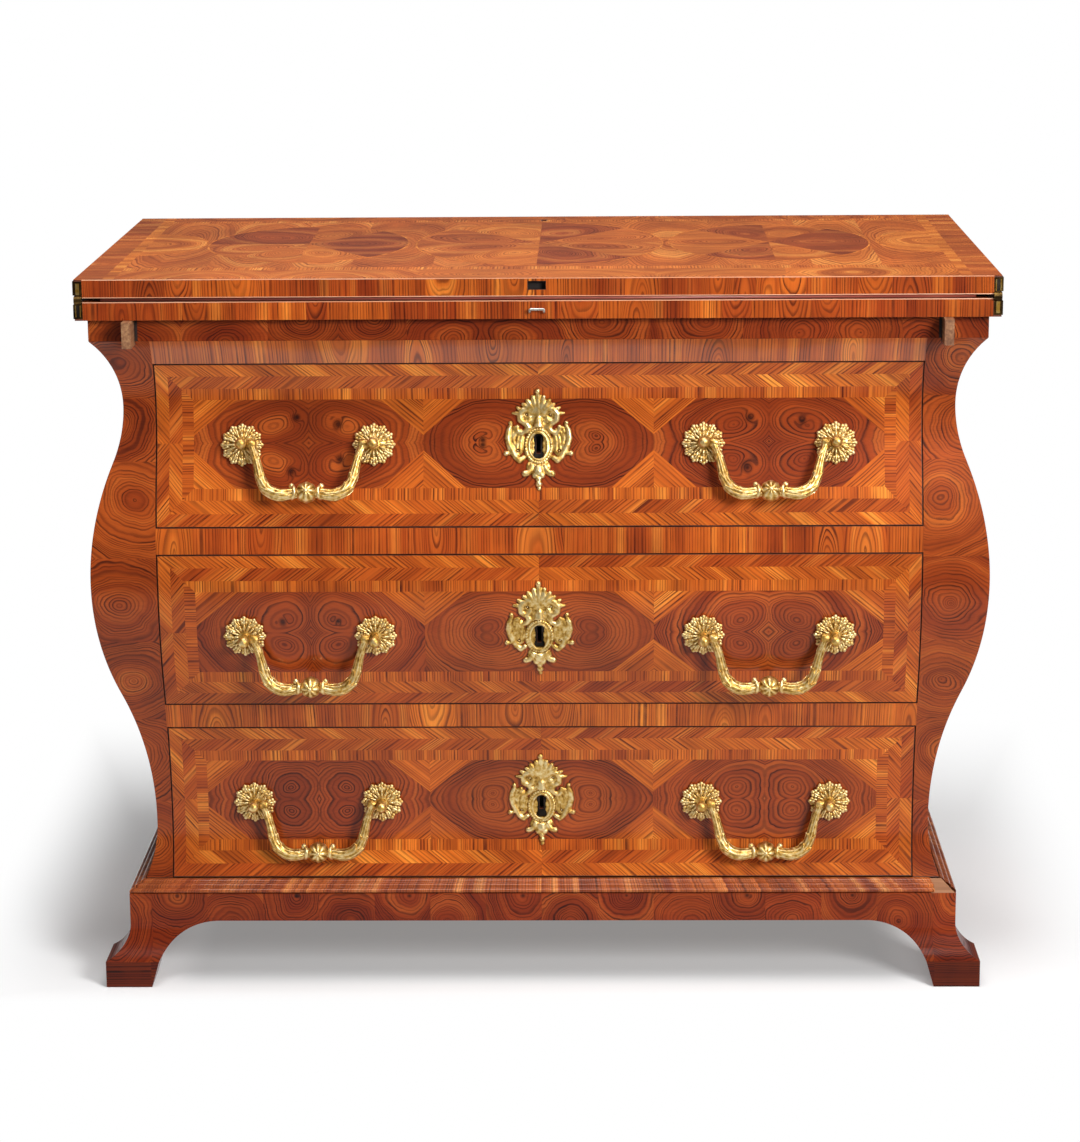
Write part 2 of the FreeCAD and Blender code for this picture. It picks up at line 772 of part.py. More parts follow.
# One rosette, one post with its nut, and one bail, each at the origin with -Y away from the drawer
post_half = "(post_spacing / 2)"
bail_end = "(%s - bail_inset)" % post_half
rosette = rod("y", "rosette_radius", "rosette_thickness", ("0", "rosette_sink - rosette_thickness", "0"))
post_start = ("0", "0 - rosette_thickness", "0")
post_length = "rosette_thickness + clamp_depth + nut_thickness"
shank_bore = rod("y", "shank_radius + running_clearance", post_length, post_start)
bored_rosette = cut(rosette, shank_bore)
shank = rod("y", "shank_radius", post_length, post_start)
neck_start = "(rosette_sink - rosette_thickness)"
post_neck = rod("y", "neck_radius", "ball_reach + " + neck_start, ("0", "0 - ball_reach", "0"))
ball = doc.addObject("Part::Sphere", "ball")
ball.setExpression("Radius", bound("ball_radius"))
place(ball, ("0", "0 - ball_reach", "0"))
pin_seat = rod(
    "x",
    "bail_pin_radius + running_clearance",
    "neck_radius",
    ("neck_radius - bail_pin_bite - running_clearance", "0 - pivot_reach", "0"),
)
right_facing_post = cut(fuse(shank, post_neck, ball), pin_seat)
left_facing_post = mirrored(right_facing_post)
nut_body = rod("y", "nut_radius", "nut_thickness", ("0", "clamp_depth", "0"))
nut = cut(nut_body, shank_bore)
nut_well = rod("y", "nut_radius + drawer_gap", "leaf_depth / 4", ("0", "clamp_depth", "0"))
post_room = fuse(shank_bore, nut_well)

bail_low = "(bail_leg + bail_bend)"
bail_body = doc.addObject("PartDesign::Body", "bail_body")
planes = {part.Role: part for part in bail_body.Origin.OriginFeatures}
ring = bail_body.newObject("Sketcher::SketchObject", "bail_section")
ring.AttachmentSupport = [(planes["XY_Plane"], "")]
ring.MapMode = "FlatFace"
ring.addGeometry(Part.Circle(V(size(bail_end), 0, 0), V(0, 0, 1), size("bail_radius")), False)
ring.addConstraint(Sketcher.Constraint("PointOnObject", 0, 3, -1))
row = ring.addConstraint(Sketcher.Constraint("DistanceX", -1, 1, 0, 3, size(bail_end)))
ring.setExpression("Constraints[%d]" % row, bound(bail_end))
row = ring.addConstraint(Sketcher.Constraint("Radius", 0, size("bail_radius")))
ring.setExpression("Constraints[%d]" % row, bound("bail_radius"))
path = bail_body.newObject("Sketcher::SketchObject", "bail_path")
path.AttachmentSupport = [(planes["XZ_Plane"], "")]
path.MapMode = "FlatFace"
path_corners = (
    (bail_end, "0", None),
    (bail_end, "0 - bail_leg", ("level", 0)),
    (bail_end + " - bail_bend", "0 - " + bail_low, None),
    ("bail_bend - " + bail_end, "0 - " + bail_low, ("level", 1)),
    ("0 - " + bail_end, "0 - bail_leg", None),
    ("0 - " + bail_end, "0", None),
)
outline(path, path_corners)
closing_edge = len(path_corners) - 1
path.toggleConstruction(closing_edge)
pipe = bail_body.newObject("PartDesign::AdditivePipe", "bail_pipe")
pipe.Profile = ring
pipe.Spine = (path, ["Edge%d" % (number + 1) for number in range(closing_edge)])
knob = doc.addObject("Part::Sphere", "knob")
knob.Placement = FreeCAD.Placement(V(), FreeCAD.Rotation(V(0, 1, 0), 90))
knob.setExpression("Radius", bound("bail_knob"))
place(knob, ("0", "0", "0 - " + bail_low))
bail_eye = rod("x", "bail_eye_radius", "bail_eye_length", (bail_end + " - bail_eye_length / 2", "0", "0"))
bail_pin = rod(
    "x",
    "bail_pin_radius",
    "bail_inset - neck_radius + bail_pin_bite",
    (bail_end, "0", "0"),
)
bail = fuse(bail_body, knob, bail_eye, mirrored(bail_eye), bail_pin, mirrored(bail_pin))

# Outline of an escutcheon as lobes: centre across, centre up, radius, as shares of its width or height
escutcheon_lobes = (
    (0, 0.08, 0.26),
    (0, -0.10, 0.24),
    (0, 0.30, 0.25),
    (0.33, -0.02, 0.17),
    (0.17, 0.20, 0.20),
    (0.18, -0.26, 0.14),
    (0, -0.32, 0.12),
)
skin_face = "(%s - escutcheon_seat - escutcheon_thickness)"
skin_back = "(%s - escutcheon_seat)"
skin_corners = [(skin_face % u, v, bend) for u, v, bend in template]
skin_corners.append((skin_face % "0", carcass_top, None))
skin_corners.append((skin_back % "0", carcass_top, None))
skin_corners += downwards(skin_back)
skin = pad("YZ", skin_corners, "leaf_width", ("0 - leaf_width / 2", "0", "0"), "skin")


def copy_at(source, placement):
    link = doc.addObject("App::Link", "copy")
    link.LinkedObject = source
    link.Placement = placement
    return link


# Drawers: curved front block, dovetailed sides, back, bottom, lock, escutcheon and two handles
drawer_half = "(%s - drawer_gap)" % opening_half
inner_half = "(%s - side_thickness)" % drawer_half
drawer_end = "(%s - drawer_back_space)" % back_inner
pivots = {}
for name in drawer_names:
    prefix = name + "_drawer_"
    low = openings[name]
    inner = front_inner[name]
    top_edge = "(%s + drawer_height - drawer_gap)" % low
    side_low = "(%s + drawer_lift)" % low
    side_high = "(%s + drawer_height - side_drop)" % low
    bottom_low = "(%s + bottom_raise)" % side_low
    bottom_high = "(%s + bottom_thickness)" % bottom_low
    middle = "(%s + drawer_height / 2 - fittings_drop)" % low

    tongue_half = inner_half + " + bottom_tongue"
    bottom = slab(tongue_half, inner + " - bottom_tongue", drawer_end, bottom_low, bottom_high)
    node(bottom, prefix + "bottom")
    tails = []
    pitch = "((%s - %s) / %d)" % (side_high, side_low, tail_count)
    for tail in range(tail_count):
        centre = "%s + %s * %s" % (side_low, tail + 0.5, pitch)
        tails.append((inner, centre + " - tail_root / 2", None))
        tails.append((inner + " - tail_length", centre + " - tail_root / 2 - tail_flare", None))
        tails.append((inner + " - tail_length", centre + " + tail_root / 2 + tail_flare", None))
        tails.append((inner, centre + " + tail_root / 2", None))
    side_outline = [(inner, side_low, None)] + tails
    side_outline += [(inner, side_high, None), (drawer_end, side_high, None), (drawer_end, side_low, None)]
    side_board = pad("YZ", side_outline, "side_thickness", (inner_half, "0", "0"), prefix + "side_board")
    right_side = cut(side_board, bottom)
    left_side = mirrored(right_side)
    node(group(right_side, left_side), prefix + "sides")
    back_high = side_high + " - drawer_back_drop"
    back_near = drawer_end + " - drawer_back_thickness"
    node(slab(inner_half, back_near, drawer_end, bottom_high, back_high), prefix + "back")

    lock_front = "(%s - lock_thickness)" % inner
    key_z = "(%s + (keyhole_drop - keyhole_radius) / 2)" % middle
    key_length = "%s + lock_thickness / 2 - (%s)" % (lock_front, ahead)
    key_bore = rod("y", "keyhole_radius", key_length, ("0", ahead, key_z))
    key_slot = box(
        ("0 - keyhole_slot / 2", ahead, key_z + " - keyhole_drop"),
        ("keyhole_slot", key_length, "keyhole_drop"),
    )
    keyhole = fuse(key_bore, key_slot)
    case = slab("lock_width / 2", lock_front, inner, middle + " - lock_below_key", top_edge)
    selvedge = slab("selvedge_width / 2", lock_front, inner, top_edge + " - selvedge_thickness", top_edge)
    lock_blank = fuse(case, selvedge)
    bolt_front = "(%s + (lock_thickness - bolt_thickness) / 2)" % lock_front
    bolt_foot = "(%s - bolt_length)" % top_edge
    bolt_tip = top_edge + " - drawer_lift"
    bolt = slab("bolt_width / 2", bolt_front, bolt_front + " + bolt_thickness", bolt_foot, bolt_tip)
    bolt_room = slab(
        "bolt_width / 2 + drawer_lift",
        bolt_front + " - drawer_lift",
        bolt_front + " + bolt_thickness + drawer_lift",
        bolt_foot,
        top_edge,
    )
    key_pin = rod("y", "key_pin_radius", "lock_thickness", ("0", lock_front + " - lock_thickness / 2", key_z))
    node(group(fuse(cut(lock_blank, bolt_room, keyhole), key_pin), bolt), prefix + "lock")

    recess, tilt = surface(size(middle))
    facing = FreeCAD.Rotation(V(1, 0, 0), -tilt)
    hanging = FreeCAD.Rotation(V(1, 0, 0), -tilt - size("bail_tilt"))
    outward = facing.multVec(V(0, -1, 0))
    rosettes, posts, nuts, bores = [], [], [], []
    for hand, side in hands:
        centre_x = side * size("handle_offset")
        for post, end in ((right_facing_post, -1), (left_facing_post, 1)):
            foot = V(centre_x + end * size(post_half), recess, size(middle))
            seat = FreeCAD.Placement(foot, facing)
            rosettes.append(copy_at(bored_rosette, seat))
            posts.append(copy_at(post, seat))
            nuts.append(copy_at(nut, seat))
            bores.append(copy_at(post_room, seat))
        pivot = V(centre_x, recess, size(middle)) + outward * size("pivot_reach")
        pivots[prefix + hand + "_bail"] = pivot
        node(group(copy_at(bail, FreeCAD.Placement(pivot, hanging))), prefix + hand + "_bail")
    blank = common(envelope, slab(drawer_half, ahead, inner, low + " + drawer_gap", top_edge))
    node(cut(blank, right_side, left_side, bottom, lock_blank, keyhole, *bores), prefix + "front")
    node(cut(group(*rosettes), blank), prefix + "rosettes")
    node(group(*posts, *nuts), prefix + "handle_bolts")

    crest_z = middle + " + escutcheon_height / 2 - crest_radius"
    drop_z = middle + " - escutcheon_height / 2 + drop_radius"
    lobe_length = inner + " - (%s)" % ahead
    lobes = [
        rod("y", "crest_radius", lobe_length, ("0", ahead, crest_z)),
        rod("y", "drop_radius", lobe_length, ("0", ahead, drop_z)),
    ]
    for across, up, radius in escutcheon_lobes:
        lobe_z = "%s + %s * escutcheon_height" % (middle, up)
        for side in (1, -1) if across else (1,):
            centre = ("%s * escutcheon_width" % (side * across), ahead, lobe_z)
            lobes.append(rod("y", "%s * escutcheon_width" % radius, lobe_length, centre))
    node(cut(common(skin, fuse(*lobes)), keyhole), prefix + "escutcheon")

doc.recompute()

# Refuse a broken model before anything is written
for thing in doc.Objects:
    if "Invalid" in thing.State or "Error" in thing.State:
        raise SystemExit("broken object: " + thing.Label)
for thing in exports:
    if thing.Shape.isNull() or not thing.Shape.isValid() or not thing.Shape.Solids:
        raise SystemExit("bad shape: " + thing.Label)

# Centre the whole on its own box, with the feet on z = 0, and write one file for each node
whole = FreeCAD.BoundBox()
for thing in exports:
    whole.add(thing.Shape.BoundBox)
centring = V(-(whole.XMin + whole.XMax) / 2, -(whole.YMin + whole.YMax) / 2, -whole.ZMin)
os.makedirs("parts", exist_ok=True)
for thing in exports:
    thing.Shape.translated(centring).exportStep("parts/" + thing.Label + ".step")

print("nodes", len(exports), "box", whole.XLength, whole.YLength, whole.ZLength, "shift", centring.y)
print("leaf hinge", size(hinge_y) + centring.y, size(hinge_z))
for label, pivot in pivots.items():
    print(label, pivot + centring)
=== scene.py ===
import functools
import math
import random
import bmesh
import bpy
import numpy
from mathutils import Matrix, Vector


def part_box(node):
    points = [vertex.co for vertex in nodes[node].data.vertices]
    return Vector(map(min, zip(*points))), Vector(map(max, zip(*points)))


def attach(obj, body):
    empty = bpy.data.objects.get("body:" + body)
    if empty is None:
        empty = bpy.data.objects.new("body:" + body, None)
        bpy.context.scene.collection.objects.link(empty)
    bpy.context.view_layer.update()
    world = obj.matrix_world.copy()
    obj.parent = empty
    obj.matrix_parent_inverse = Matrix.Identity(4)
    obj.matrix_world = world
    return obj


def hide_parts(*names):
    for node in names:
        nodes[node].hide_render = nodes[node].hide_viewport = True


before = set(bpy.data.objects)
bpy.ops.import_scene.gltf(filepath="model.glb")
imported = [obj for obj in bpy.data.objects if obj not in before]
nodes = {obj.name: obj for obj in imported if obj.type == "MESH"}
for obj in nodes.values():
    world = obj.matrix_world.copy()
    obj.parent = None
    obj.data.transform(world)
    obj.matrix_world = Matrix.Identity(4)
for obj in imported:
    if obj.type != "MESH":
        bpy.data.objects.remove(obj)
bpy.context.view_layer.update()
mm = 0.001
drawers = ("bottom", "middle", "top")
hands = ((-1, "left"), (1, "right"))
print("frame loaded:", len(nodes), "nodes")

# levels and reaches of the carcass in mm, as the solids have them
carcass = {
    "friezeHalf": 507.5, "openingHalf": 439.0, "drawerHalf": 437.8, "depth": 541.5, "baseTop": 120.5,
    "drawerHeight": 187.0, "rail": 30.0, "crease": 771.0, "friezeTop": 796.2, "leafHalf": 520.0, "leafTop": 843.0,
    "overhang": 12.5, "gap": 1.2,
    # recess, height and the end of each arc that is upright
    "bends": ((37.5, 120.5, 1), (51.0, 187.0, 0), (18.825, 353.65, 1), (-7.5, 490.0, 0),
              (19.36, 626.68, 1), (32.0, 691.0, 0), (0.0, 771.0, 0)),
}
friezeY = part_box("lower_leaf")[0].y / mm + carcass["overhang"]
leafFront, leafBack = friezeY - carcass["overhang"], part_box("upper_leaf")[1].y / mm
drawerLow = {name: carcass["baseTop"] + row * (carcass["drawerHeight"] + carcass["rail"])
             for row, name in enumerate(drawers)}


def recess(z):
    bends = carcass["bends"]
    for (u0, z0, end), (u1, z1, unused) in zip(bends, bends[1:]):
        if z0 <= z <= z1:
            a, b, c, d = (u0, z0, u1, z1) if end == 0 else (u1, z1, u0, z0)
            radius = ((c - a) ** 2 + (d - b) ** 2) / (2 * (c - a))
            return a + radius - math.copysign(math.sqrt(radius ** 2 - (z - b) ** 2), radius)
    return 0.0 if z > carcass["crease"] else bends[0][0]


def lean(z):  # how fast the recess grows with height
    step, crease = 0.4, carcass["crease"]
    above, below = min(z + step, crease - 0.1), max(min(z, crease - 0.5) - step, carcass["baseTop"])
    return (recess(above) - recess(below)) / (2 * step) if z < crease else 0.0


def onFront(x, z, lift):
    return (Vector((x, friezeY + recess(z), z)) + Vector((0, -1, lean(z))).normalized() * lift) * mm


def onTop(x, y, lift):
    return Vector((x, y, carcass["leafTop"] + lift)) * mm


def onLeafFront(x, z, lift):
    return Vector((x, leafFront - lift, z)) * mm


# colour and shader helpers
def toLinear(hexText):
    parts = [int(hexText[i:i + 2], 16) / 255 for i in (1, 3, 5)]
    return tuple(c / 12.92 if c <= 0.04045 else ((c + 0.055) / 1.055) ** 2.4 for c in parts) + (1.0,)


def addNode(tree, kind, *values, out=0, stops=(), **settings):
    # values fill the sockets in order, words with a capital are sockets too, a second word of kind is the operation
    kind, *operation = kind.split()
    node = tree.nodes.new("ShaderNode" + kind)
    if operation:
        node.operation = operation[0]
    for key, value in settings.items():
        if key[0].islower():
            setattr(node, key, value)
    plugs = dict(values[0]) if values and isinstance(values[0], dict) else dict(enumerate(values))
    plugs.update({key.replace("_", " "): value for key, value in settings.items() if key[0].isupper()})
    for key, value in plugs.items():
        if isinstance(value, bpy.types.NodeSocket):
            tree.links.new(value, node.inputs[key])
        elif value is not None:
            node.inputs[key].default_value = value
    for k, (position, colour) in enumerate(stops):
        ramp = node.color_ramp.elements
        while len(ramp) < len(stops):
            ramp.new(0.5)
        ramp[k].position, ramp[k].color = position, toLinear(colour)
    return node.outputs if out is None else node.outputs[out]


def startMaterial(name):
    material = bpy.data.materials.new(name)
    material.use_nodes = True
    material.node_tree.nodes.clear()
    return material, functools.partial(addNode, material.node_tree)


def closeMaterial(material, add, **sockets):
    add("OutputMaterial", add("BsdfPrincipled", **sockets), out=None)
    return material


# veneer: sawn sheets of a red-brown exotic wood, laid as marquetry and french polished.
# The eye sees dark growth lines on orange ground, rings where the log was cut across, and a soft warm gloss.
# The fibre is drawn coarser than it is, or it would not show.
veneerLook = {
    "ringMm": 3.5, "groundMm": 26.0, "fibreMm": 0.7, "veilMm": 26.0, "cloudMm": 111.1, "waveMm": 45.45,
    "driftMm": 40.0, "driftReach": 7.0, "swirlMm": 75.0, "swirlReach": 40.0, "curlMm": 13.0, "curlReach": 4.5,
    "toneReach": 0.22, "hues": (0.494, 0.506), "rough": (0.36, 0.44), "bump": 0.22,
    "pale": ((0.30, "#9E4514"), (0.45, "#B25117"), (0.58, "#C2601E"), (0.72, "#D67A2C")), "paleLine": "#4E1806",
    "deep": ((0.30, "#7A2C0E"), (0.46, "#8A3711"), (0.58, "#994116"), (0.72, "#AC521E")), "deepLine": "#260A04",
}
topLook = dict(
    veneerLook, paleLine="#7C3210", deepLine="#48180A",
    pale=((0.28, "#A44E1C"), (0.45, "#BC6024"), (0.58, "#CC702E"), (0.75, "#DE8C42")),
    deep=((0.28, "#762C12"), (0.45, "#903C18"), (0.58, "#A24C20"), (0.75, "#B8642C")))
mouldingLook = dict(
    veneerLook,
    pale=((0.3, "#84381A"), (0.46, "#A24E22"), (0.58, "#BA622E"), (0.72, "#D4884A")),
    deep=((0.3, "#521C0C"), (0.46, "#6E2C14"), (0.58, "#8A401E"), (0.72, "#AC5E32")))


def veneerFigure(add, look, along, across, ringed, seed, lightness, depth, knot):
    seat = add("CombineXYZ", along, across, add("Math MULTIPLY", seed, 9.7))
    drift, swirl, curl, veil, fibre = [
        add("TexNoise", Vector=add("VectorMath MULTIPLY", seat, (drawn, 1.0, 1.0)), Scale=1 / look[size],
            Detail=detail)
        for size, drawn, detail in (("driftMm", 0.2, 2.0), ("swirlMm", 1.0, 1.6), ("curlMm", 1.0, 1.0),
                                    ("veilMm", 1.0, 1.0), ("fibreMm", 0.05, 2.0))]
    rings = add("VectorMath LENGTH", add("CombineXYZ", along, across), out="Value")
    swayed = []
    for line, noises in ((across, ((drift, "driftReach"),)), (rings, ((swirl, "swirlReach"), (curl, "curlReach")))):
        for noise, reach in noises:
            sway = add("Math MULTIPLY", add("Math SUBTRACT", noise, 0.5), look[reach])
            line = add("Math ADD", line, sway)
        swayed.append(line)
    band = add("Mix", ringed, None, *swayed)
    knotA, knotB, knotSize = knot
    beside = add("VectorMath LENGTH", add("CombineXYZ", knotA, knotB), out="Value")
    beside = add("Math DIVIDE", beside, add("Math MAXIMUM", knotSize, 0.001))
    swell = add("Math MULTIPLY", add("Math POWER", 0.5, add("Math MULTIPLY", beside, beside)), knotSize)
    band = add("Math MULTIPLY_ADD", swell, 1.8, band)  # lines part round a knot
    streaks = []
    groundShift = add("Math MULTIPLY", seed, 13.0)
    for size, shift, detail in ((look["ringMm"] * 7, seed, 2.0), (look["groundMm"], groundShift, 3.0)):
        spot = add("Math ADD", add("Math DIVIDE", band, size), shift)
        streaks.append(add("TexNoise", W=spot, Scale=1.0, Detail=detail, Roughness=0.55, noise_dimensions="1D"))
    drawnOut, ground = streaks
    years = add("Math MULTIPLY_ADD", drawnOut, 4.0, add("Math DIVIDE", band, look["ringMm"]))
    year = add("Math FRACT", years)
    late = add("TexWhiteNoise", W=add("Math ADD", add("Math FLOOR", years), seed), noise_dimensions="1D")
    rise = add("MapRange", year, 0.35, 0.8, interpolation_type="SMOOTHSTEP")
    fall = add("MapRange", year, 0.88, 1.0, 1.0, 0.0)
    lines = add("Math MULTIPLY", add("Math MULTIPLY", rise, fall), add("MapRange", late, 0.0, 1.0, 0.4, 1.0))
    thin = add("Math MULTIPLY", lines, add("MapRange", veil, 0.36, 0.62, 0.6, 1.0))
    colours = []
    for family in ("pale", "deep"):
        body = add("ValToRGB", ground, stops=look[family])
        lined = {0: thin, 6: body, 7: toLinear(look[family + "Line"])}
        colours.append(add("Mix", lined, data_type="RGBA", out=2))
    colour = add("Mix", {0: depth, 6: colours[0], 7: colours[1]}, data_type="RGBA", out=2)
    place = add("TexCoord", out="Object")
    cloud = add("TexNoise", Vector=place, Scale=1000.0 / look["cloudMm"], Detail=3.0)
    value = add("Math MULTIPLY_ADD", lightness, look["toneReach"], 1.0)
    for source, *limits in ((fibre, 0.25, 0.75, 0.86, 1.12), (cloud, 0.3, 0.7, 0.84, 1.12),
                            (swirl, 0.3, 0.7, 1.14, 0.88), (beside, 0.3, 1.3, 0.22, 1.0)):
        value = add("Math MULTIPLY", value, add("MapRange", source, *limits))
    hue = add("MapRange", lightness, -1.0, 1.0, *look["hues"])
    wave = add("TexNoise", Vector=place, Scale=1000.0 / look["waveMm"], Detail=1.0)  # sunk old ground
    tooth = add("Math MULTIPLY_ADD", thin, -0.5, add("Math MULTIPLY", fibre, 0.4))
    height = add("Math MULTIPLY_ADD", wave, 3.0, tooth)
    return {"Base_Color": add("HueSaturation", Hue=hue, Value=value, Color=colour),
            "Roughness": add("MapRange", lines, 0.0, 0.8, *look["rough"]),
            "Normal": add("Bump", Strength=look["bump"], Distance=0.0004, Height=height)}


def pieceVeneer(name, look, coat=0.4, coatRough=0.13, shine=0.12):
    # figure follows the grain of each marquetry piece
    material, add = startMaterial(name)
    grain, tone, knot = [add("SeparateXYZ", add("Attribute", attribute_name=layer, out="Vector"), out=None)
                         for layer in ("grain", "tone", "knot")]
    figure = veneerFigure(add, look, grain[0], grain[1], grain[2], tone[1], tone[0], tone[2], knot)
    return closeMaterial(material, add, Coat_Weight=coat, Coat_Roughness=coatRough, IOR=1.5,
                         Specular_IOR_Level=shine, **figure)


oysterLook = {"cellMm": 66.0, "lowHeart": 71.0, "heartRise": 66.0, "toeBelow": 0.031, "toeDarkening": -0.8,
              "lowDarkening": (0.045, 0.085, -1.5, 0.0), "shades": (-0.85, -0.25), "knotMm": 3.5, "depth": 0.95}


def oysterVeneer(name, look):  # slices cut across a branch, laid edge to edge on base and feet
    material, add = startMaterial(name)
    axes = add("SeparateXYZ", add("TexCoord", out="Object"), out=None)
    facing = add("SeparateXYZ", add("NewGeometry", out="Normal"), out=None)
    sideways = add("Math GREATER_THAN", add("Math ABSOLUTE", facing[0]), 0.6)
    level = add("Mix", sideways, None, axes[0], axes[1])
    sheet = add("VectorMath MULTIPLY", add("CombineXYZ", level, axes[2]), (1000.0, 1000.0, 0.0))
    flatMm = add("SeparateXYZ", sheet, out=None)
    turn = add("Math FLOOR", add("Math DIVIDE", flatMm[0], look["cellMm"]))
    chance = add("SeparateColor", add("TexWhiteNoise", W=turn, noise_dimensions="1D", out="Color"), out=None)
    heart = add("Math ADD", turn, add("Math MULTIPLY_ADD", chance[2], 0.4, 0.3))
    upper = add("Math FRACT", add("Math MULTIPLY", turn, 0.5))  # hearts lie low and high by turns
    parts = (add("Math SUBTRACT", flatMm[0], add("Math MULTIPLY", heart, look["cellMm"])),
             add("Math SUBTRACT", flatMm[1], add("Math MULTIPLY_ADD", upper, look["heartRise"], look["lowHeart"])))
    lightness = add("MapRange", chance[0], 0.0, 1.0, *look["shades"])
    # darker towards the bottom, darker still and without rings on the toes
    low = add("Math LESS_THAN", axes[2], look["toeBelow"])
    lowDarkening = add("MapRange", axes[2], *look["lowDarkening"])
    toneMarks = add("Math ADD", lightness, add("Math MULTIPLY_ADD", low, look["toeDarkening"], lowDarkening))
    knot = (*parts, add("Math MULTIPLY", chance[2], look["knotMm"]))
    figure = veneerFigure(add, veneerLook, *parts, add("Math SUBTRACT", 1.0, low),
                          add("Math MULTIPLY", chance[1], 40.0), toneMarks, look["depth"], knot)
    return closeMaterial(material, add, Coat_Weight=0.15, Coat_Roughness=0.1, IOR=1.5, Specular_IOR_Level=0.12,
                         **figure)


# plain timbers: object space, grain along one axis
timberLook = {
    "walnutGround": {"colours": ("#3A1A0E", "#5C2C18", "#74402A"), "axis": 0, "ringMm": 3.0, "rough": 0.42},
    "pineBoards": {"colours": ("#6C4426", "#9A683C", "#BE8C58"), "axis": 0, "ringMm": 4.0, "rough": 0.62},
    "pineSides": {"colours": ("#6C4426", "#9A683C", "#BE8C58"), "axis": 1, "ringMm": 4.0, "rough": 0.6},
    "beechLoper": {"colours": ("#4E2E1C", "#80553A", "#B0845C"), "axis": 1, "ringMm": 2.2, "rough": 0.36},
    "bareOak": {"colours": ("#6E4426", "#936240", "#AE7E58"), "axis": 0, "ringMm": 2.5, "rough": 0.6},
    "cherryBead": {"colours": ("#5A221A", "#80382A", "#A45C46"), "axis": 0, "ringMm": 2.0, "rough": 0.3},
    # pale strips on the leaf arrises: partly rubbed polish, partly painted highlight
    "wornArrisHighlight": {"colours": ("#B06A48", "#DC9C78", "#F2C4A4"), "axis": 0, "ringMm": 6.0, "rough": 0.3},
    # not a timber: a black sheet laid as painted shade inside the loper and staple slots
    "slotShadeBlack": {"colours": ("#100704", "#1A0C07", "#26130B"), "axis": 0, "ringMm": 3.0, "rough": 0.7},
}


def timber(name):  # planed solid wood: close parallel lines, a dull sheen, darker late wood
    look = timberLook[name]
    material, add = startMaterial(name)
    drawn = [1.0, 1.0, 1.0]
    drawn[look["axis"]] = 0.035
    seat = add("VectorMath MULTIPLY", add("TexCoord", out="Object"), tuple(drawn))
    broad = add("TexNoise", Vector=seat, Scale=1000.0 / look["ringMm"] / 9, Detail=2.0)
    fine = add("TexNoise", Vector=seat, Scale=1000.0 / look["ringMm"] / 1.6, Detail=4.0, Roughness=0.6)
    rings = add("Mix", 0.6, None, broad, fine)
    return closeMaterial(
        material, add, IOR=1.5,
        Base_Color=add("ValToRGB", rings, stops=tuple(zip((0.3, 0.5, 0.7), look["colours"]))),
        Roughness=add("MapRange", rings, 0.3, 0.7, look["rough"] + 0.08, look["rough"]),
        Normal=add("Bump", Strength=0.25, Distance=0.0004, Height=rings))


metalLook = {
    # cast bronze, chased and fire gilt: burnished ridges, matt gold hollows with old dirt
    "giltBronze": {"colours": ("#7A5220", "#D0A656", "#F2DAA0"), "rough": (0.55, 0.38), "grainMm": 1.2, "bump": 0.15},
    # cast brass plates worn by hands: brown film with bright rubbed spots
    "wornBrass": {"colours": ("#1E150C", "#3E2E1A", "#8A6C38"), "rough": (0.55, 0.3), "grainMm": 4.0, "bump": 0.2},
    # the same brass where it slides and is rubbed bright
    "rubbedBrass": {"colours": ("#7A5420", "#C89A44", "#F2D48A"), "rough": (0.45, 0.28), "grainMm": 2.0, "bump": 0.2},
    # forged steel, filed bright
    "filedSteel": {"colours": ("#77736C", "#A9A59D", "#D6D2CA"), "rough": (0.42, 0.26), "grainMm": 1.0, "bump": 0.15},
    # sheet iron lock cases with black scale; the same black is also laid as painted shade in key openings and hinge
    # slots
    "blackIronAndShade": {"colours": ("#14110F", "#2A2522", "#453D37"), "rough": (0.65, 0.45), "grainMm": 3.0, "bump": 0.3},
}


def metal(name):
    look = metalLook[name]
    material, add = startMaterial(name)
    grain = add("TexNoise", Vector=add("TexCoord", out="Object"), Scale=1000.0 / look["grainMm"] / 4, Detail=4.0)
    relief = add("Attribute", attribute_name="relief", out="Fac")  # ridges 1, hollows -1, plain 0
    wear = add("Math MULTIPLY_ADD", relief, 0.22, grain)
    return closeMaterial(
        material, add, Metallic=1.0,
        Base_Color=add("ValToRGB", wear, stops=tuple(zip((0.22, 0.46, 0.7), look["colours"]))),
        Roughness=add("MapRange", wear, 0.25, 0.75, *look["rough"]),
        Normal=add("Bump", Strength=look["bump"], Distance=0.0004, Height=grain))


leatherLook = {"pebbleMm": 2.381, "rubMm": 71.43,
               "colours": ((0.3, "#3E1410"), (0.5, "#5E2018"), (0.72, "#7A3626"))}


def tannedLeather():  # calf glued to the writing surface: fine pebble grain, rubbed brown-red
    material, add = startMaterial("tannedLeather")
    place = add("TexCoord", out="Object")
    pebble = add("TexVoronoi", Vector=place, Scale=1000.0 / leatherLook["pebbleMm"], feature="SMOOTH_F1",
                 out="Distance")
    rub = add("TexNoise", Vector=place, Scale=1000.0 / leatherLook["rubMm"], Detail=4.0)
    return closeMaterial(material, add, IOR=1.5, Base_Color=add("ValToRGB", rub, stops=leatherLook["colours"]),
                         Roughness=add("MapRange", rub, 0.3, 0.7, 0.52, 0.38),
                         Normal=add("Bump", Strength=0.3, Distance=0.0003, Height=pebble))


finish = {name: timber(name) for name in timberLook}
finish.update({name: metal(name) for name in metalLook})
finish["polishedVeneer"] = pieceVeneer("polishedVeneer", veneerLook)
finish["fadedVeneer"] = pieceVeneer("fadedVeneer", topLook, 0.15, 0.25)
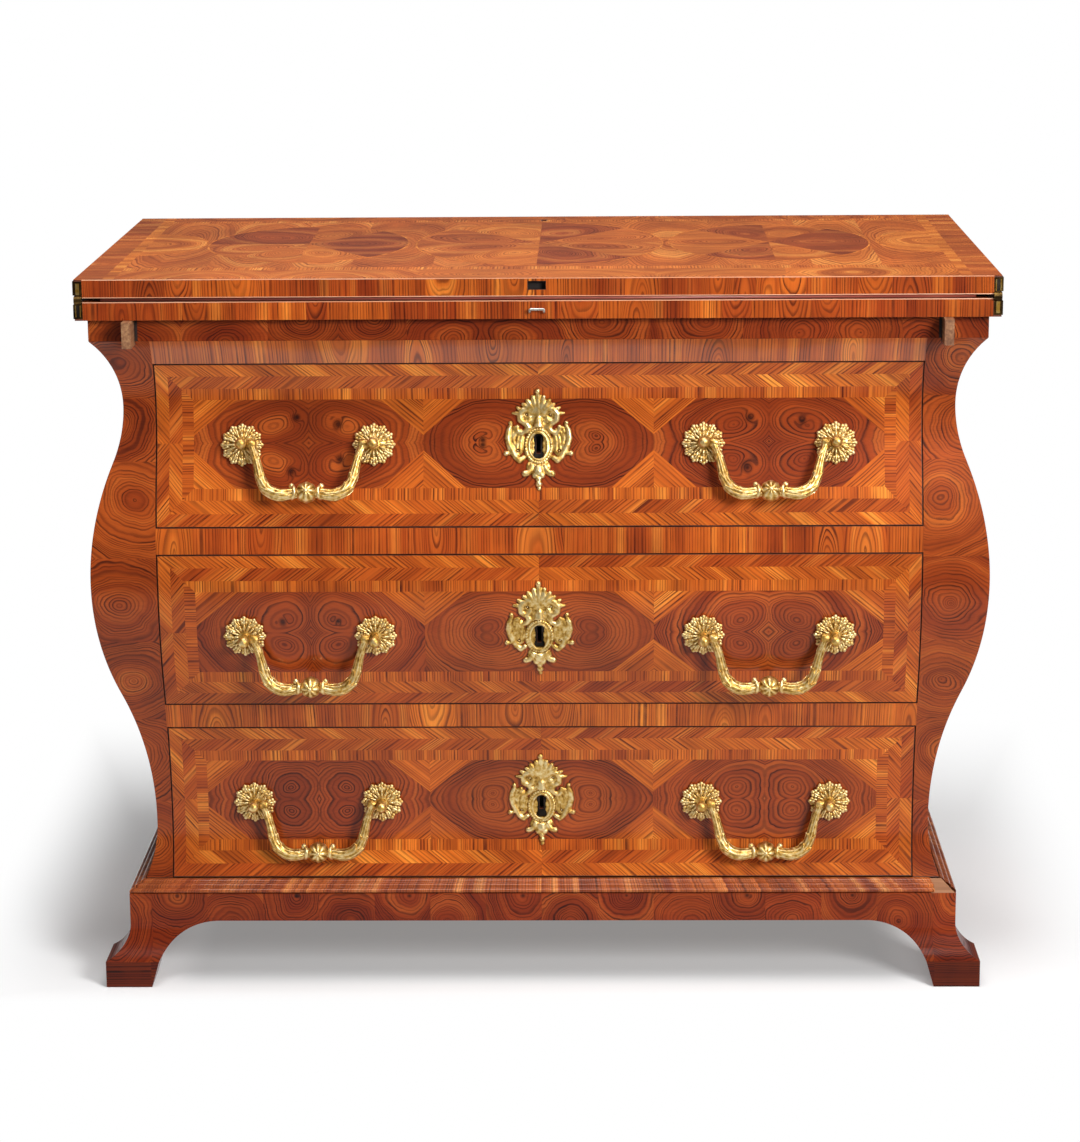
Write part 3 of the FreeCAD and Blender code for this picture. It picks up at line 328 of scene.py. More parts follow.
# the cove leans down and mirrors the floor, so its polish is given more gloss
finish["polishedCove"] = pieceVeneer("polishedCove", veneerLook, 0.9, 0.2, 0.4)
finish["polishedMoulding"] = pieceVeneer("polishedMoulding", mouldingLook, 0.6, 0.05)
finish["oysterVeneer"] = oysterVeneer("oysterVeneer", oysterLook)
finish["tannedLeather"] = tannedLeather()
print("materials made:", len(finish))

nodeFinish = {
    "walnutGround": ["left_side_panel", "right_side_panel", "frieze_rail", "upper_drawer_rail", "lower_drawer_rail",
                     "lower_leaf", "upper_leaf"],
    "pineBoards": ["back_panel", "dust_boards", "drawer_kickers", "drawer_stops", "base_board", "back_apron"],
    "oysterVeneer": ["front_apron", "side_aprons", "front_left_foot", "front_right_foot", "back_left_foot",
                     "back_right_foot"],
    "beechLoper": ["left_loper", "right_loper"], "cherryBead": ["writing_bed", "base_moulding"],
    "wornBrass": ["lower_hinge_plates", "upper_hinge_plates"], "filedSteel": ["hinge_pins", "locating_staple"],
    "blackIronAndShade": ["leaf_lock", "leaf_strike_plate"], "tannedLeather": ["writing_leather"],
}
drawerFinish = {"front": "walnutGround", "back": "pineBoards", "bottom": "pineBoards", "sides": "pineSides",
                "lock": "blackIronAndShade", "rosettes": "giltBronze", "handle_bolts": "giltBronze",
                "escutcheon": "giltBronze", "left_bail": "giltBronze", "right_bail": "giltBronze"}
dressing = {node: finishName for finishName, names in nodeFinish.items() for node in names}
dressing.update({d + "_drawer_" + part: finishName for d in drawers for part, finishName in drawerFinish.items()})
for node, finishName in dressing.items():
    nodes[node].data.materials.clear()
    nodes[node].data.materials.append(finish[finishName])


# marquetry: flat outlines in mm, cut like veneer, laid on a surface and given a thickness
def clip(outline, na, nb, limit):  # keeps the side where na*a + nb*b is under limit
    kept = []
    for (a0, b0), (a1, b1) in zip(outline, outline[1:] + outline[:1]):
        d0, d1 = na * a0 + nb * b0 - limit, na * a1 + nb * b1 - limit
        if d0 <= 0:
            kept.append((a0, b0))
        if (d0 < 0 < d1) or (d1 < 0 < d0):
            share = d0 / (d0 - d1)
            kept.append((a0 + share * (a1 - a0), b0 + share * (b1 - b0)))
    return kept if len(kept) > 2 else []


def sliced(outline, cuts):
    low, high = min(b for a, b in outline), max(b for a, b in outline)
    stops = [low] + [c for c in cuts if low + 0.05 < c < high - 0.05] + [high]
    strips = [clip(clip(outline, 0, 1, top), 0, -1, -bottom) for bottom, top in zip(stops, stops[1:])]
    return [strip for strip in strips if strip]


def around(outline, hole):  # the outline without a rectangle, as up to four pieces
    (a0, b0), (a1, b1) = hole
    column = clip(clip(outline, 1, 0, a1), -1, 0, -a0)
    pieces = [clip(outline, 1, 0, a0), clip(outline, -1, 0, -a1)]
    if column:
        pieces += [clip(column, 0, 1, b0), clip(column, 0, -1, -b1)]
    return [piece for piece in pieces if piece]


def rectangle(a0, b0, a1, b1):
    return [(a0, b0), (a1, b0), (a1, b1), (a0, b1)]


def levels(low, high, step):
    return [low + step * k for k in range(1, int((high - low) / step) + 1)]


def straightGrain(angle):  # origin, fibre direction, cross direction
    c, s = math.cos(math.radians(angle)), math.sin(math.radians(angle))
    return (0.0, 0.0, c, s, -s, c)


def ringGrain(a, b, stretch=1.4, turn=0.0, flipA=1, flipB=1):  # rings about a knot, drawn out along turn
    c, s = math.cos(math.radians(turn)), math.sin(math.radians(turn))
    return (a, b, flipA * c / stretch, flipB * s / stretch, -flipA * s, flipB * c)


def piece(outline, grain, ringed, lightness, seed, depth, lift=0.0, knot=(0.0, 0.0, 0.0)):
    return {"outline": outline, "grain": grain, "ringed": ringed, "tone": (lightness, seed, depth), "lift": lift,
            "knot": knot}


def plain(outline, angle=0, depth=0.0):  # a piece whose finish needs no figure of its own
    return piece(outline, straightGrain(angle), 0.0, 0.0, 1.0, depth)


# hand cutting: how a length varies, the stub that joins its neighbour, and where arches and hearts fall
cutLook = {"run": (0.65, 1.35), "runStub": 0.3, "archOff": (10, 26), "archStretch": (2.4, 4.5),
           "oyster": (0.8, 1.2), "oysterStub": 0.4, "heartAlong": (0.25, 0.75), "heartUp": (-0.2, 1.2),
           "stretch": (1.0, 1.5), "turn": (-30, 30), "shade": (-0.25, 0.25)}
seeds = (0, 60)  # shifts the figure from piece to piece


def run(region, along, angle, step, dice, lightness, depth, spread=0.35, arch=None):
    # a band cut across into pieces whose ends follow the grain
    c, s = math.cos(math.radians(angle)), math.sin(math.radians(angle))
    na, nb = -s, c
    if na * along[0] + nb * along[1] < 0:
        na, nb = -na, -nb
    pace = na * along[0] + nb * along[1]
    reach = [na * a + nb * b for a, b in region]
    spot, pieces = min(reach), []
    while spot < max(reach) - 0.5:
        ahead = spot + dice.uniform(*cutLook["run"]) * step * pace
        if max(reach) - ahead < cutLook["runStub"] * step * pace:
            ahead = max(reach)
        outline = clip(clip(region, na, nb, ahead), -na, -nb, -spot)
        if outline:
            grain, ringed = straightGrain(angle), 0.0
            if arch and dice.random() < arch:
                middle = [sum(v[i] for v in outline) / len(outline) for i in (0, 1)]
                off = dice.choice((-1, 1)) * dice.uniform(*cutLook["archOff"])
                stretch = dice.uniform(*cutLook["archStretch"])
                grain, ringed = ringGrain(middle[0] + off * c, middle[1] + off * s, stretch, angle), 1.0
            shade = lightness + dice.uniform(-spread, spread)
            pieces.append(piece(outline, grain, ringed, shade, dice.uniform(*seeds), depth))
        spot = ahead
    return pieces


def oysterRow(a0, b0, a1, b1, step, dice, depth, shade=0.0):
    # neighbours are mirrored about their joint, like leaves from one log
    pieces, spot, flip, seed = [], a0, 1, dice.uniform(*seeds)
    while spot < a1 - 1:
        ahead = min(a1, spot + step * dice.uniform(*cutLook["oyster"]))
        if a1 - ahead < cutLook["oysterStub"] * step:
            ahead = a1
        if flip > 0:
            seed = dice.uniform(*seeds)
            heart, lift, stretch, turn = [dice.uniform(*cutLook[key])
                                          for key in ("heartAlong", "heartUp", "stretch", "turn")]
        share = heart if flip > 0 else 1 - heart
        grain = ringGrain(spot + share * (ahead - spot), b0 + lift * (b1 - b0), stretch, turn, flip, 1)
        outline = rectangle(spot, b0, ahead, b1)
        pieces.append(piece(outline, grain, 1.0, shade + dice.uniform(*cutLook["shade"]), seed, depth))
        spot, flip = ahead, -flip
    return pieces


def inlay(name, body, pieces, place, cuts=(), finishName="polishedVeneer", lift=0.3, thick=0.5, flat=None, holes=(),
          replaced=()):
    mesh = bmesh.new()
    grainLayer, toneLayer, knotLayer = [mesh.verts.layers.float_vector.new(layer)
                                        for layer in ("grain", "tone", "knot")]
    for part in pieces:
        outlines = [part["outline"]]
        for hole in holes:
            outlines = [rest for outline in outlines for rest in around(outline, hole)]
        oa, ob, ua, ub, va, vb = part["grain"]
        knotA, knotB, knotSize = part["knot"]
        for outline in outlines:
            faces, tops, bottoms = [], {}, {}
            for strip in sliced(outline, cuts):
                ring = []
                for a, b in strip:
                    key = (round(a, 3), round(b, 3))
                    if key not in tops:
                        fa, fb = flat(a, b) if flat else (a, b)
                        grain = ((fa - oa) * ua + (fb - ob) * ub, (fa - oa) * va + (fb - ob) * vb, part["ringed"])
                        for store, rise in ((tops, lift + part["lift"]), (bottoms, lift - thick)):
                            store[key] = mesh.verts.new(place(a, b, rise))
                            store[key][grainLayer] = grain
                            store[key][toneLayer] = part["tone"]
                            store[key][knotLayer] = (fa - knotA, fb - knotB, knotSize)
                    if key not in ring:
                        ring.append(key)
                if len(ring) > 2:
                    faces.append(ring)
            if not faces:
                continue
            a, b = outline[0]
            outward = place(a, b, 1.0) - place(a, b, 0.0)
            first = [tops[key].co for key in faces[0]]
            area = sum(((p - first[0]).cross(q - first[0]) for p, q in zip(first[1:], first[2:])), Vector())
            if area.dot(outward) < 0:
                faces = [ring[::-1] for ring in faces]
            borders = {}
            for ring in faces:
                mesh.faces.new([tops[key] for key in ring]).smooth = True
                mesh.faces.new([bottoms[key] for key in ring[::-1]]).smooth = True
                openEdges(borders, ring)
            for here, there in borders:
                mesh.faces.new((tops[there], tops[here], bottoms[here], bottoms[there]))
                for sheet in (tops, bottoms):
                    mesh.edges.get((sheet[here], sheet[there])).smooth = False
    return finishPiece(name, mesh, body, finishName, replaced)


def openEdges(borders, ring):  # keeps the edges that only one face has
    for here, there in zip(ring, ring[1:] + ring[:1]):
        if (there, here) in borders:
            del borders[(there, here)]
        else:
            borders[(here, there)] = True


def finishPiece(name, mesh, body, finishName, replaced=()):
    data = bpy.data.meshes.new(name)
    mesh.to_mesh(data)
    mesh.free()
    data.materials.append(finish[finishName])
    thing = bpy.data.objects.new(name, data)
    bpy.context.scene.collection.objects.link(thing)
    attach(thing, body)
    if replaced:
        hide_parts(*replaced)
    return thing


# drawer fronts: two herringbone bands, a crossband, then three lozenges of oyster figure
drawerLook = {
    "bands": (14.0, 15.0, 13.0), "slantFlat": 38.0, "slantUpright": 50.0, "bandStep": 62.0, "crossStep": 26.0,
    "spandrel": (49.0, 41.0), "curveStep": 6.0, "inset": 0.6,
    # key opening: height over the drawer's foot, room cut in the marquetry, opening of the black sheet painted as
    # shade behind it
    "keyUp": 97.9, "keyRoom": (9.0, 27.0, 9.0), "keyShadeSheet": (2.6, 17.2, 3.0),
    # per drawer: heart of the rings in an end panel, stretch and turn, heart in the middle panel
    "hearts": {"top": (40.0, 19.0, 1.6, -14.0, 66.0), "middle": (32.0, 14.0, 1.5, -20.0, 60.0),
               "bottom": (33.0, 15.0, 1.35, -18.0, 58.0)},
    "centreRings": (7.0, 1.4, -20.0),  # height of that heart, stretch and turn
    # dark knots by panel, side and end: offset from the heart of the quarter, then size
    "knots": {"top": {(0, -1, 1): (26, 10, 5.0), (0, 1, 1): (-6, 2, 6.0), (0, -1, -1): (20, -12, 5.5),
                      (0, 1, -1): (-4, 1, 5.5), (2, -1, 1): (18, 8, 5.5), (2, -1, -1): (14, -8, 7.0),
                      (2, 1, 1): (-2, 4, 5.0), (1, -1, 1): (2, -4, 4.5), (1, -1, -1): (2, 4, 4.5)},
              "middle": {(0, -1, 1): (0, 0, 5.0), (0, 1, 1): (0, 0, 4.0)}, "bottom": {}},
    "shades": {"top": (0.05, -0.1, -0.3), "middle": (-0.2, 0.25, -0.15), "bottom": (-0.1, 0.4, -0.05)},  # by panel
    "upperBandLight": {"top": 0.6, "middle": 0.0, "bottom": 0.25},  # upper bands laid lighter as painted light: the top drawer's face turns up, the bottom drawer's turns down to the floor
    "bare": {"middle": ((0, -1), (0, 1), (1, -1))},  # lower spandrels that have been lost, by panel and side
}
quarters = [(side, end) for side in (-1, 1) for end in (1, -1)]


def layDrawer(name):
    look = drawerLook
    dice = random.Random("drawer " + name)
    low = drawerLow[name] + carcass["gap"] + look["inset"]
    high = drawerLow[name] + carcass["drawerHeight"] - carcass["gap"] - look["inset"]
    half, middle, tall = carcass["drawerHalf"] - look["inset"], (low + high) / 2, (high - low) / 2
    pieces, done = [], 0.0
    for row, width in enumerate(look["bands"]):
        outA, outB, inA, inB = half - done, tall - done, half - done - width, tall - done - width
        for side, end in quarters:
            flatBand = [(0, middle + end * outB), (side * outA, middle + end * outB),
                        (side * inA, middle + end * inB), (0, middle + end * inB)]
            uprightBand = [(side * outA, middle), (side * outA, middle + end * outB),
                           (side * inA, middle + end * inB), (side * inA, middle)]
            if row < 2:
                turn = side * end * (1 if row == 0 else -1)
                # painted light on the upper bands
                rise = look["upperBandLight"][name] if end > 0 else 0.0
                pieces += run(flatBand, (side, 0), look["slantFlat"] * turn, look["bandStep"], dice,
                              rise + (0.4 if turn < 0 else -0.5), 0.0)
                pieces += run(uprightBand, (0, end), look["slantUpright"] * turn, look["bandStep"], dice,
                              0.3 if turn < 0 else -0.5, 0.05)
            else:
                pieces += run(flatBand, (side, 0), 90, look["crossStep"], dice, 0.15, 0.0, 0.5)
                pieces += run(uprightBand, (0, end), 0, look["crossStep"], dice, -0.15, 0.1, 0.4)
        done += width
    fieldB, panelHalf = tall - done, (half - done) / 3
    cutA, cutB = look["spandrel"]
    heartA, heartB, stretch, turn, centreHeart = look["hearts"][name]
    centreUp, *centreShape = look["centreRings"]
    for panel in range(3):
        centre = (panel - 1) * 2 * panelHalf
        seed, shade = dice.uniform(*seeds), look["shades"][name][panel]
        for side, end in quarters:
            corner = (centre + side * panelHalf, middle + end * fieldB)
            lozenge = [(centre, middle), (corner[0], middle), corner, (centre, corner[1])]
            if end > 0 or (panel, side) not in look["bare"].get(name, ()):
                na, nb = side * cutB, end * cutA
                limit = na * corner[0] + nb * corner[1] - cutA * cutB
                spandrel, lozenge = clip(lozenge, -na, -nb, -limit), clip(lozenge, na, nb, limit)
                angle = math.degrees(math.atan2(-end * side * cutB, cutA))
                light = 0.45 + dice.uniform(-0.25, 0.35) if angle * side * end < 0 else 0.2
                pieces.append(piece(spandrel, straightGrain(angle), 0.0, light * 0.8, dice.uniform(*seeds), 0.05))
            a, b = (centreHeart, centreUp) if panel == 1 else (heartA, heartB)
            a, b = centre + side * a, middle + end * b
            shape = centreShape if panel == 1 else (stretch, turn)
            knotA, knotB, size = look["knots"][name].get((panel, side, end), (0.0, 0.0, 0.0))
            pieces.append(piece(lozenge, ringGrain(a, b, *shape, side, end), 1.0, shade + dice.uniform(-0.12, 0.12),
                                seed, 0.92, knot=(a + knotA, b + knotB, size)))
    keyZ = drawerLow[name] + look["keyUp"]
    reachA, below, above = look["keyRoom"]
    room = ((-reachA, keyZ - below), (reachA, keyZ + above))
    cuts = levels(low, high, look["curveStep"])
    inlay(name + "DrawerMarquetry", name + "_drawer", pieces, onFront, cuts, holes=[room])
    # a black sheet round the key opening, painted as the shade behind the keyhole plate
    reachA, below, above = look["keyShadeSheet"]
    keyShade = [plain(part, 90, 1.0) for part in around(rectangle(*room[0], *room[1]),
                                                      ((-reachA, keyZ - below), (reachA, keyZ + above)))]
    inlay(name + "DrawerKeyShade", name + "_drawer", keyShade, onFront, cuts, "blackIronAndShade", 0.15)


for name in drawers:
    layDrawer(name)
print("drawer marquetry laid")

# rails, frieze and cove: crossbanding and half oysters
railLook = {"step": 46.0, "arch": 0.25, "joint": 0.3, "curveStep": 5.0,
            # the lower rail faces down to the floor and is laid lighter as painted light
            "rails": (("lowerRail", 307.5, 0.35), ("upperRail", 524.5, -0.3)),  # foot and lightness
            "cove": (741.8, 770.8, 70.0, 4.0), "friezeLow": 771.1, "friezeStep": 95.0}
half = carcass["openingHalf"]
for name, low, shade in railLook["rails"]:
    band = rectangle(-half, low + railLook["joint"], half, low + carcass["rail"] - railLook["joint"])
    pieces = run(band, (1, 0), 90, railLook["step"], random.Random(name), shade, 0.05, 0.5, railLook["arch"])
    inlay(name + "Veneer", "carcass", pieces, onFront, levels(low, low + carcass["rail"], railLook["curveStep"]))
low, high, step, curveStep = railLook["cove"]
# the cove is laid lighter as painted light, for the floor light it faces
cove = run(rectangle(-half, low, half, high), (1, 0), 90, step, random.Random("cove"), 0.35, 0.15, 0.3, 0.6)
inlay("coveVeneer", "carcass", cove, onFront, levels(low, high, curveStep), "polishedCove")

# lopers come out through the frieze, with a black strip beside each painted as the shade in its slot
loperLook = {"middle": 460.75, "half": 5.9, "gapMiddle": 453.3, "gapHalf": 1.6, "low": 766.4, "high": 797.0,
             "edge": 0.0042, "footEdge": 0.0018, "footAngle": 35.0}


def roomAt(middle, half):
    low, high = loperLook["low"], loperLook["high"]
    return [((side * middle - half, low), (side * middle + half, high)) for side in (-1, 1)]


gapRoom = roomAt(loperLook["gapMiddle"], loperLook["gapHalf"])
half = carcass["friezeHalf"] - 0.1
frieze = oysterRow(-half, railLook["friezeLow"], half, carcass["friezeTop"], railLook["friezeStep"],
                   random.Random("frieze"), 0.95, -0.35)
inlay("friezeVeneer", "carcass", frieze, onFront, holes=roomAt(loperLook["middle"], loperLook["half"]) + gapRoom)
# black strips painted as the shade in the slot beside each loper
gapShades = [plain(rectangle(a0, b0 + 5.0, a1, b1 - 0.8), 90, 1.0) for (a0, b0), (a1, b1) in gapRoom]
inlay("loperGapShades", "carcass", gapShades, onFront, finishName="slotShadeBlack", lift=0.1, thick=0.3)
print("rails and frieze veneered")

for side, hand in hands:
    rounding = nodes[hand + "_loper"].modifiers.new("wornEdges", "BEVEL")
    rounding.width, rounding.segments = loperLook["edge"], 5
    for end in ("front", "back"):
        rounding = nodes[end + "_" + hand + "_foot"].modifiers.new("wornEdges", "BEVEL")
        rounding.width, rounding.segments = loperLook["footEdge"], 3
        rounding.angle_limit = math.radians(loperLook["footAngle"])
print("lopers and feet rounded")

# stiles beside the drawers, and the two sides: stacked oysters
stileLook = {"joints": (121.0, 212.0, 318.0, 420.0, 520.0, 628.0, 700.0, 770.8), "curveStep": 6.0,
             "knots": ((30, 40), (46, 60), (26, 52), (40, 45), (22, 66), (48, 40), (36, 44)),
             "loperRoom": (16.1, 27.9, 68.5, 0.003)}  # from the opening, of the stile's width at the frieze
sideLook = {"columns": 4, "rows": (121.0, 255.0, 390.0, 525.0, 660.0, 770.8), "friezeStep": 90.0}


def stileSpot(side, a, b):  # a runs from the opening to the arris
    inner = carcass["openingHalf"]
    return side * (inner + a * (carcass["friezeHalf"] - inner - recess(b))), b


def onStile(side, a, b, lift):
    return onFront(*stileSpot(side, a, b), lift)


def sideSpot(a, b):
    return friezeY + recess(b) + a * (carcass["depth"] - recess(b)), b


def onSide(side, a, b, lift):
    outward = Vector((side, 0, lean(b))).normalized()
    return (Vector((side * (carcass["friezeHalf"] - recess(b)), sideSpot(a, b)[0], b)) + outward * lift) * mm


def onSideFrieze(side, a, b, lift):
    return Vector((side * (carcass["friezeHalf"] + lift), a, b)) * mm


for side, hand in hands:
    dice = random.Random("stile " + hand)
    pieces, joints = [], stileLook["joints"]
    for low, high, (knotA, knotB) in zip(joints, joints[1:], stileLook["knots"]):
        heart = side * (carcass["openingHalf"] + knotA + dice.uniform(-8, 8))
        grain = ringGrain(heart, low + knotB, 1.25, dice.uniform(-25, 25), side, 1)
        outline = rectangle(0.0, low, 1.0, high)
        pieces.append(piece(outline, grain, 1.0, dice.uniform(-0.35, 0.2), dice.uniform(*seeds), 0.8))
    cuts = levels(121, carcass["crease"], stileLook["curveStep"])
    near, far, width, play = stileLook["loperRoom"]
    inlay(hand + "StileVeneer", "carcass", pieces, functools.partial(onStile, side), cuts,
          flat=functools.partial(stileSpot, side),
          holes=[((near / width - play, loperLook["low"]), (far / width + play, loperLook["high"]))])
    pieces, rows, columns = [], sideLook["rows"], sideLook["columns"]
    for low, high in zip(rows, rows[1:]):
        seed, knotB, shade = dice.uniform(*seeds), dice.uniform(0.3, 0.7), dice.uniform(-0.2, 0.2)
        for column in range(columns):
            flip = 1 if column % 2 else -1
            heart = friezeY + (column + 0.5 + 0.18 * flip) * (carcass["depth"] / columns)
            grain = ringGrain(heart, low + knotB * (high - low), 1.2, 15, flip, 1)
            outline = rectangle(column / columns, low, (column + 1) / columns, high)
            pieces.append(piece(outline, grain, 1.0, shade + dice.uniform(-0.12, 0.12), seed, 0.7))
    inlay(hand + "SideVeneer", "carcass", pieces, functools.partial(onSide, side), cuts, flat=sideSpot)
    band = oysterRow(friezeY + 0.2, railLook["friezeLow"], friezeY + carcass["depth"], carcass["friezeTop"],
                     sideLook["friezeStep"], dice, 0.6)
    inlay(hand + "SideFriezeVeneer", "carcass", band, functools.partial(onSideFrieze, side))
print("stiles and sides veneered")

# base moulding: cross-grain veneer over two reeds, with the right front corner broken away to bare wood
mouldLook = {
    "profile": (
        (21.8, 106.5), (21.6, 107.3), (19.9, 107.6), (19.3, 108.4), (19.0, 109.4), (19.4, 110.7), (20.4, 111.8),
        (21.9, 112.5), (23.6, 112.6), (24.5, 112.3), (24.6, 112.9), (24.5, 114.0), (25.0, 115.3), (26.2, 116.3),
        (27.9, 116.9), (29.8, 116.9), (30.6, 116.6), (30.8, 117.4), (31.6, 118.9), (33.3, 120.0), (36.0, 120.5)),
    "slope": (0.6, 0.8), "brokenFrom": 457.5, "brokenTo": 0.9995, "broken": ((19.6, 106.5), (35.1, 119.7)),
    "step": 20.0, "half": 488.5, "back": 282.5, "stopMm": 1.4,
}
mouldTop = float(len(mouldLook["profile"]) - 1)


def onMould(a, b, lift, profile=mouldLook["profile"]):
    # a from -1 to 1 is the front, beyond that the sides; b runs over the stops of the profile
    k = min(int(b), len(profile) - 2)
    (u0, z0), (u1, z1) = profile[k], profile[k + 1]
    u, z = u0 + (b - k) * (u1 - u0), z0 + (b - k) * (z1 - z0)
    out, up = mouldLook["slope"]
    half, y = carcass["friezeHalf"] - u, friezeY + u
    if abs(a) <= 1:
        return Vector((a * half, y - lift * out, z + lift * up)) * mm
    side = math.copysign(1, a)
    return Vector((side * (half + lift * out), y + (abs(a) - 1) * (mouldLook["back"] - y), z + lift * up)) * mm


def mouldFlat(a, b):
    return a * (mouldLook["half"] if abs(a) <= 1 else mouldLook["back"] - friezeY), b * mouldLook["stopMm"]


def onBroken(a, b, lift):  # flat slope that the reeds were glued to
    return onMould(a, b / mouldTop, lift, mouldLook["broken"])


dice = random.Random("mould")
cornerLow, cornerHigh = [mouldLook["brokenFrom"] / (carcass["friezeHalf"] - mouldLook["profile"][k][0])
                         for k in (0, -1)]
pieces = []
for low, high, topEnd in ((-2.0, -1.0, -1.0), (1.0, 2.0, 2.0), (-1.0, cornerLow, cornerHigh)):
    spot = low
    while spot < high - 1e-4:
        ahead = min(high, spot + dice.uniform(0.6, 1.5) * mouldLook["step"] / 500)
        outline = [(spot, 0.0), (ahead, 0.0), (ahead if ahead < high else topEnd, mouldTop), (spot, mouldTop)]
        pieces.append(piece(outline, straightGrain(90), 0.0, dice.uniform(-0.5, 0.55), dice.uniform(*seeds),
                            dice.uniform(0, 0.5)))
        spot = ahead
inlay("baseMoulding", "carcass", pieces, onMould, levels(0.0, mouldTop - 1, 1.0), "polishedMoulding", 0.0, 5.0,
      mouldFlat, replaced=("base_moulding",))
cornerEnd = mouldLook["brokenTo"]
corner = [plain([(cornerLow, 0.0), (cornerEnd, 0.0), (cornerEnd, mouldTop), (cornerHigh, mouldTop)])]
inlay("brokenCorner", "carcass", corner, onBroken, [float(k) for k in range(1, int(mouldTop), 3)], "bareOak",
      0.0, 4.0)
print("base moulding laid")

# edges of the two leaves: crossbanding with arched figure, and pale strips on the arrises, partly worn polish and
# partly painted highlight
edgeLook = {"step": 34.0, "arch": 0.4, "half": 510.8, "backHalf": 519.8, "hingeRoom": 46.0,
            "slot": ((-10.4, 829.3), (10.4, 839.4))}
leaves = (("upperLeaf", "leaf", 822.1, 842.9, [edgeLook["slot"]]), ("lowerLeaf", "carcass", 796.6, 817.4, ()))
arrisHighlights = (("upperLeaf", "leaf", ((842.0, 842.95), (822.1, 822.9))), ("lowerLeaf", "carcass", ((816.5, 817.42),)))


def onLeafSide(side, a, b, lift):
    return Vector((side * (carcass["leafHalf"] + lift), a, b)) * mm


def onLeafBack(a, b, lift):
    return Vector((a, leafBack + lift, b)) * mm


for name, body, low, high, holes in leaves:
    dice = random.Random(name)

    def edgeRun(start, end, lightness, depth, spread):
        return run(rectangle(start, low, end, high), (1, 0), 90, edgeLook["step"], dice, lightness, depth, spread,
                   edgeLook["arch"])

    half = edgeLook["half"]
    inlay(name + "FrontEdge", body, edgeRun(-half, half, -0.45, 0.3, 0.8), onLeafFront, lift=0.15, holes=holes)
    for side, hand in hands:
        inlay(name + hand.capitalize() + "Edge", body,
              edgeRun(leafFront + edgeLook["hingeRoom"], leafBack, 0.05, 0.15, 0.45),
              functools.partial(onLeafSide, side), lift=0.25)
    backHalf = edgeLook["backHalf"]
    inlay(name + "BackEdge", body, edgeRun(-backHalf, backHalf, -0.1, 0.2, 0.5), onLeafBack, lift=0.25)
# pale lines along the leaf edges, partly wear and partly painted highlight
for name, body, stripes in arrisHighlights:
    toneMarks = [plain(rectangle(-half, low, half, high)) for low, high in stripes]
    inlay(name + "ArrisHighlight", body, toneMarks, onLeafFront, finishName="wornArrisHighlight", lift=0.2, thick=0.15)

# slot in the upper leaf: walls and back lined black as painted shade
slotLook = {"half": 10.1, "low": 829.65, "high": 839.1, "depth": 7.6, "sheet": 0.2, "mouth": 0.1}
low, high, half, sheet = slotLook["low"], slotLook["high"], slotLook["half"], slotLook["sheet"]
slotWalls = (((-half, low), (half, low), (0, 0, 1)), ((half, low), (half, high), (-1, 0, 0)),
             ((half, high), (-half, high), (0, 0, -1)), ((-half, high), (-half, low), (1, 0, 0)))


def inSlot(a, b, lift):  # a runs round the four walls, b into the slot
    k = min(int(a), 3)
    (x0, z0), (x1, z1), inward = slotWalls[k]
    spot = Vector((x0 + (a - k) * (x1 - x0), leafFront + b, z0 + (a - k) * (z1 - z0)))
    return (spot + Vector(inward) * lift) * mm


def slotBack(a, b, lift):
    return onLeafFront(a, b, lift - slotLook["depth"])


# black sheets painted as the shade inside the slot
walls = [plain(rectangle(k, slotLook["mouth"], k + 0.999, slotLook["depth"]), 0, 1.0) for k in range(4)]
inlay("slotShadeLining", "leaf", walls, inSlot, finishName="slotShadeBlack", lift=sheet, thick=sheet)
inlay("slotShadeBacking", "leaf", [plain(rectangle(-half, low, half, high), 0, 1.0)], slotBack, finishName="slotShadeBlack",
      lift=sheet, thick=sheet)

# hinge faces: a rubbed tongue on one plate, bright cheeks on the other with a black sheet painted as shade in the
# slot between them
hingeLook = {"middle": 516.0, "upper": (825.6, 838.6), "lower": (800.6, 813.8),
             "tongue": 2.1, "slot": 2.0, "cheek": 1.1}
for side, hand in hands:
    for plate, body in (("upper", "leaf"), ("lower", "carcass")):
        low, high = hingeLook[plate]
        middle, slot, cheek = side * hingeLook["middle"], hingeLook["slot"], hingeLook["cheek"]
        tongue = (plate == "upper") == (side < 0)
        spans = [(-slot - cheek, -slot), (slot, slot + cheek)]
        if tongue:
            spans = [(-hingeLook["tongue"], hingeLook["tongue"])]
        bright = [plain(rectangle(middle + a0, low, middle + a1, high), 90) for a0, a1 in spans]
        inlay(hand + plate.capitalize() + "HingeFace", body, bright, onLeafFront, finishName="rubbedBrass",
              lift=0.15, thick=0.7)
        if not tongue:
            # black sheet painted as the shade inside the hinge slot
            slotShade = [plain(rectangle(middle - slot, low, middle + slot, high), 90, 1.0)]
            inlay(hand + plate.capitalize() + "HingeSlotShade", body, slotShade, onLeafFront, finishName="blackIronAndShade",
                  lift=-0.3, thick=0.3)

# back: wide pine boards with open joints
backLook = {"half": 440.0, "boards": (122.0, 236.0, 372.0, 480.0, 611.0, 702.0, 795.0), "joint": 1.4}
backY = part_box("back_panel")[1].y / mm


def onBack(a, b, lift):
    return Vector((a, backY + lift, b)) * mm


half, gap = backLook["half"], backLook["joint"] / 2
boards = [plain(rectangle(-half, low + gap, half, high - gap))
          for low, high in zip(backLook["boards"], backLook["boards"][1:])]
inlay("backBoards", "carcass", boards, onBack, finishName="pineBoards", lift=0.9, thick=1.2)

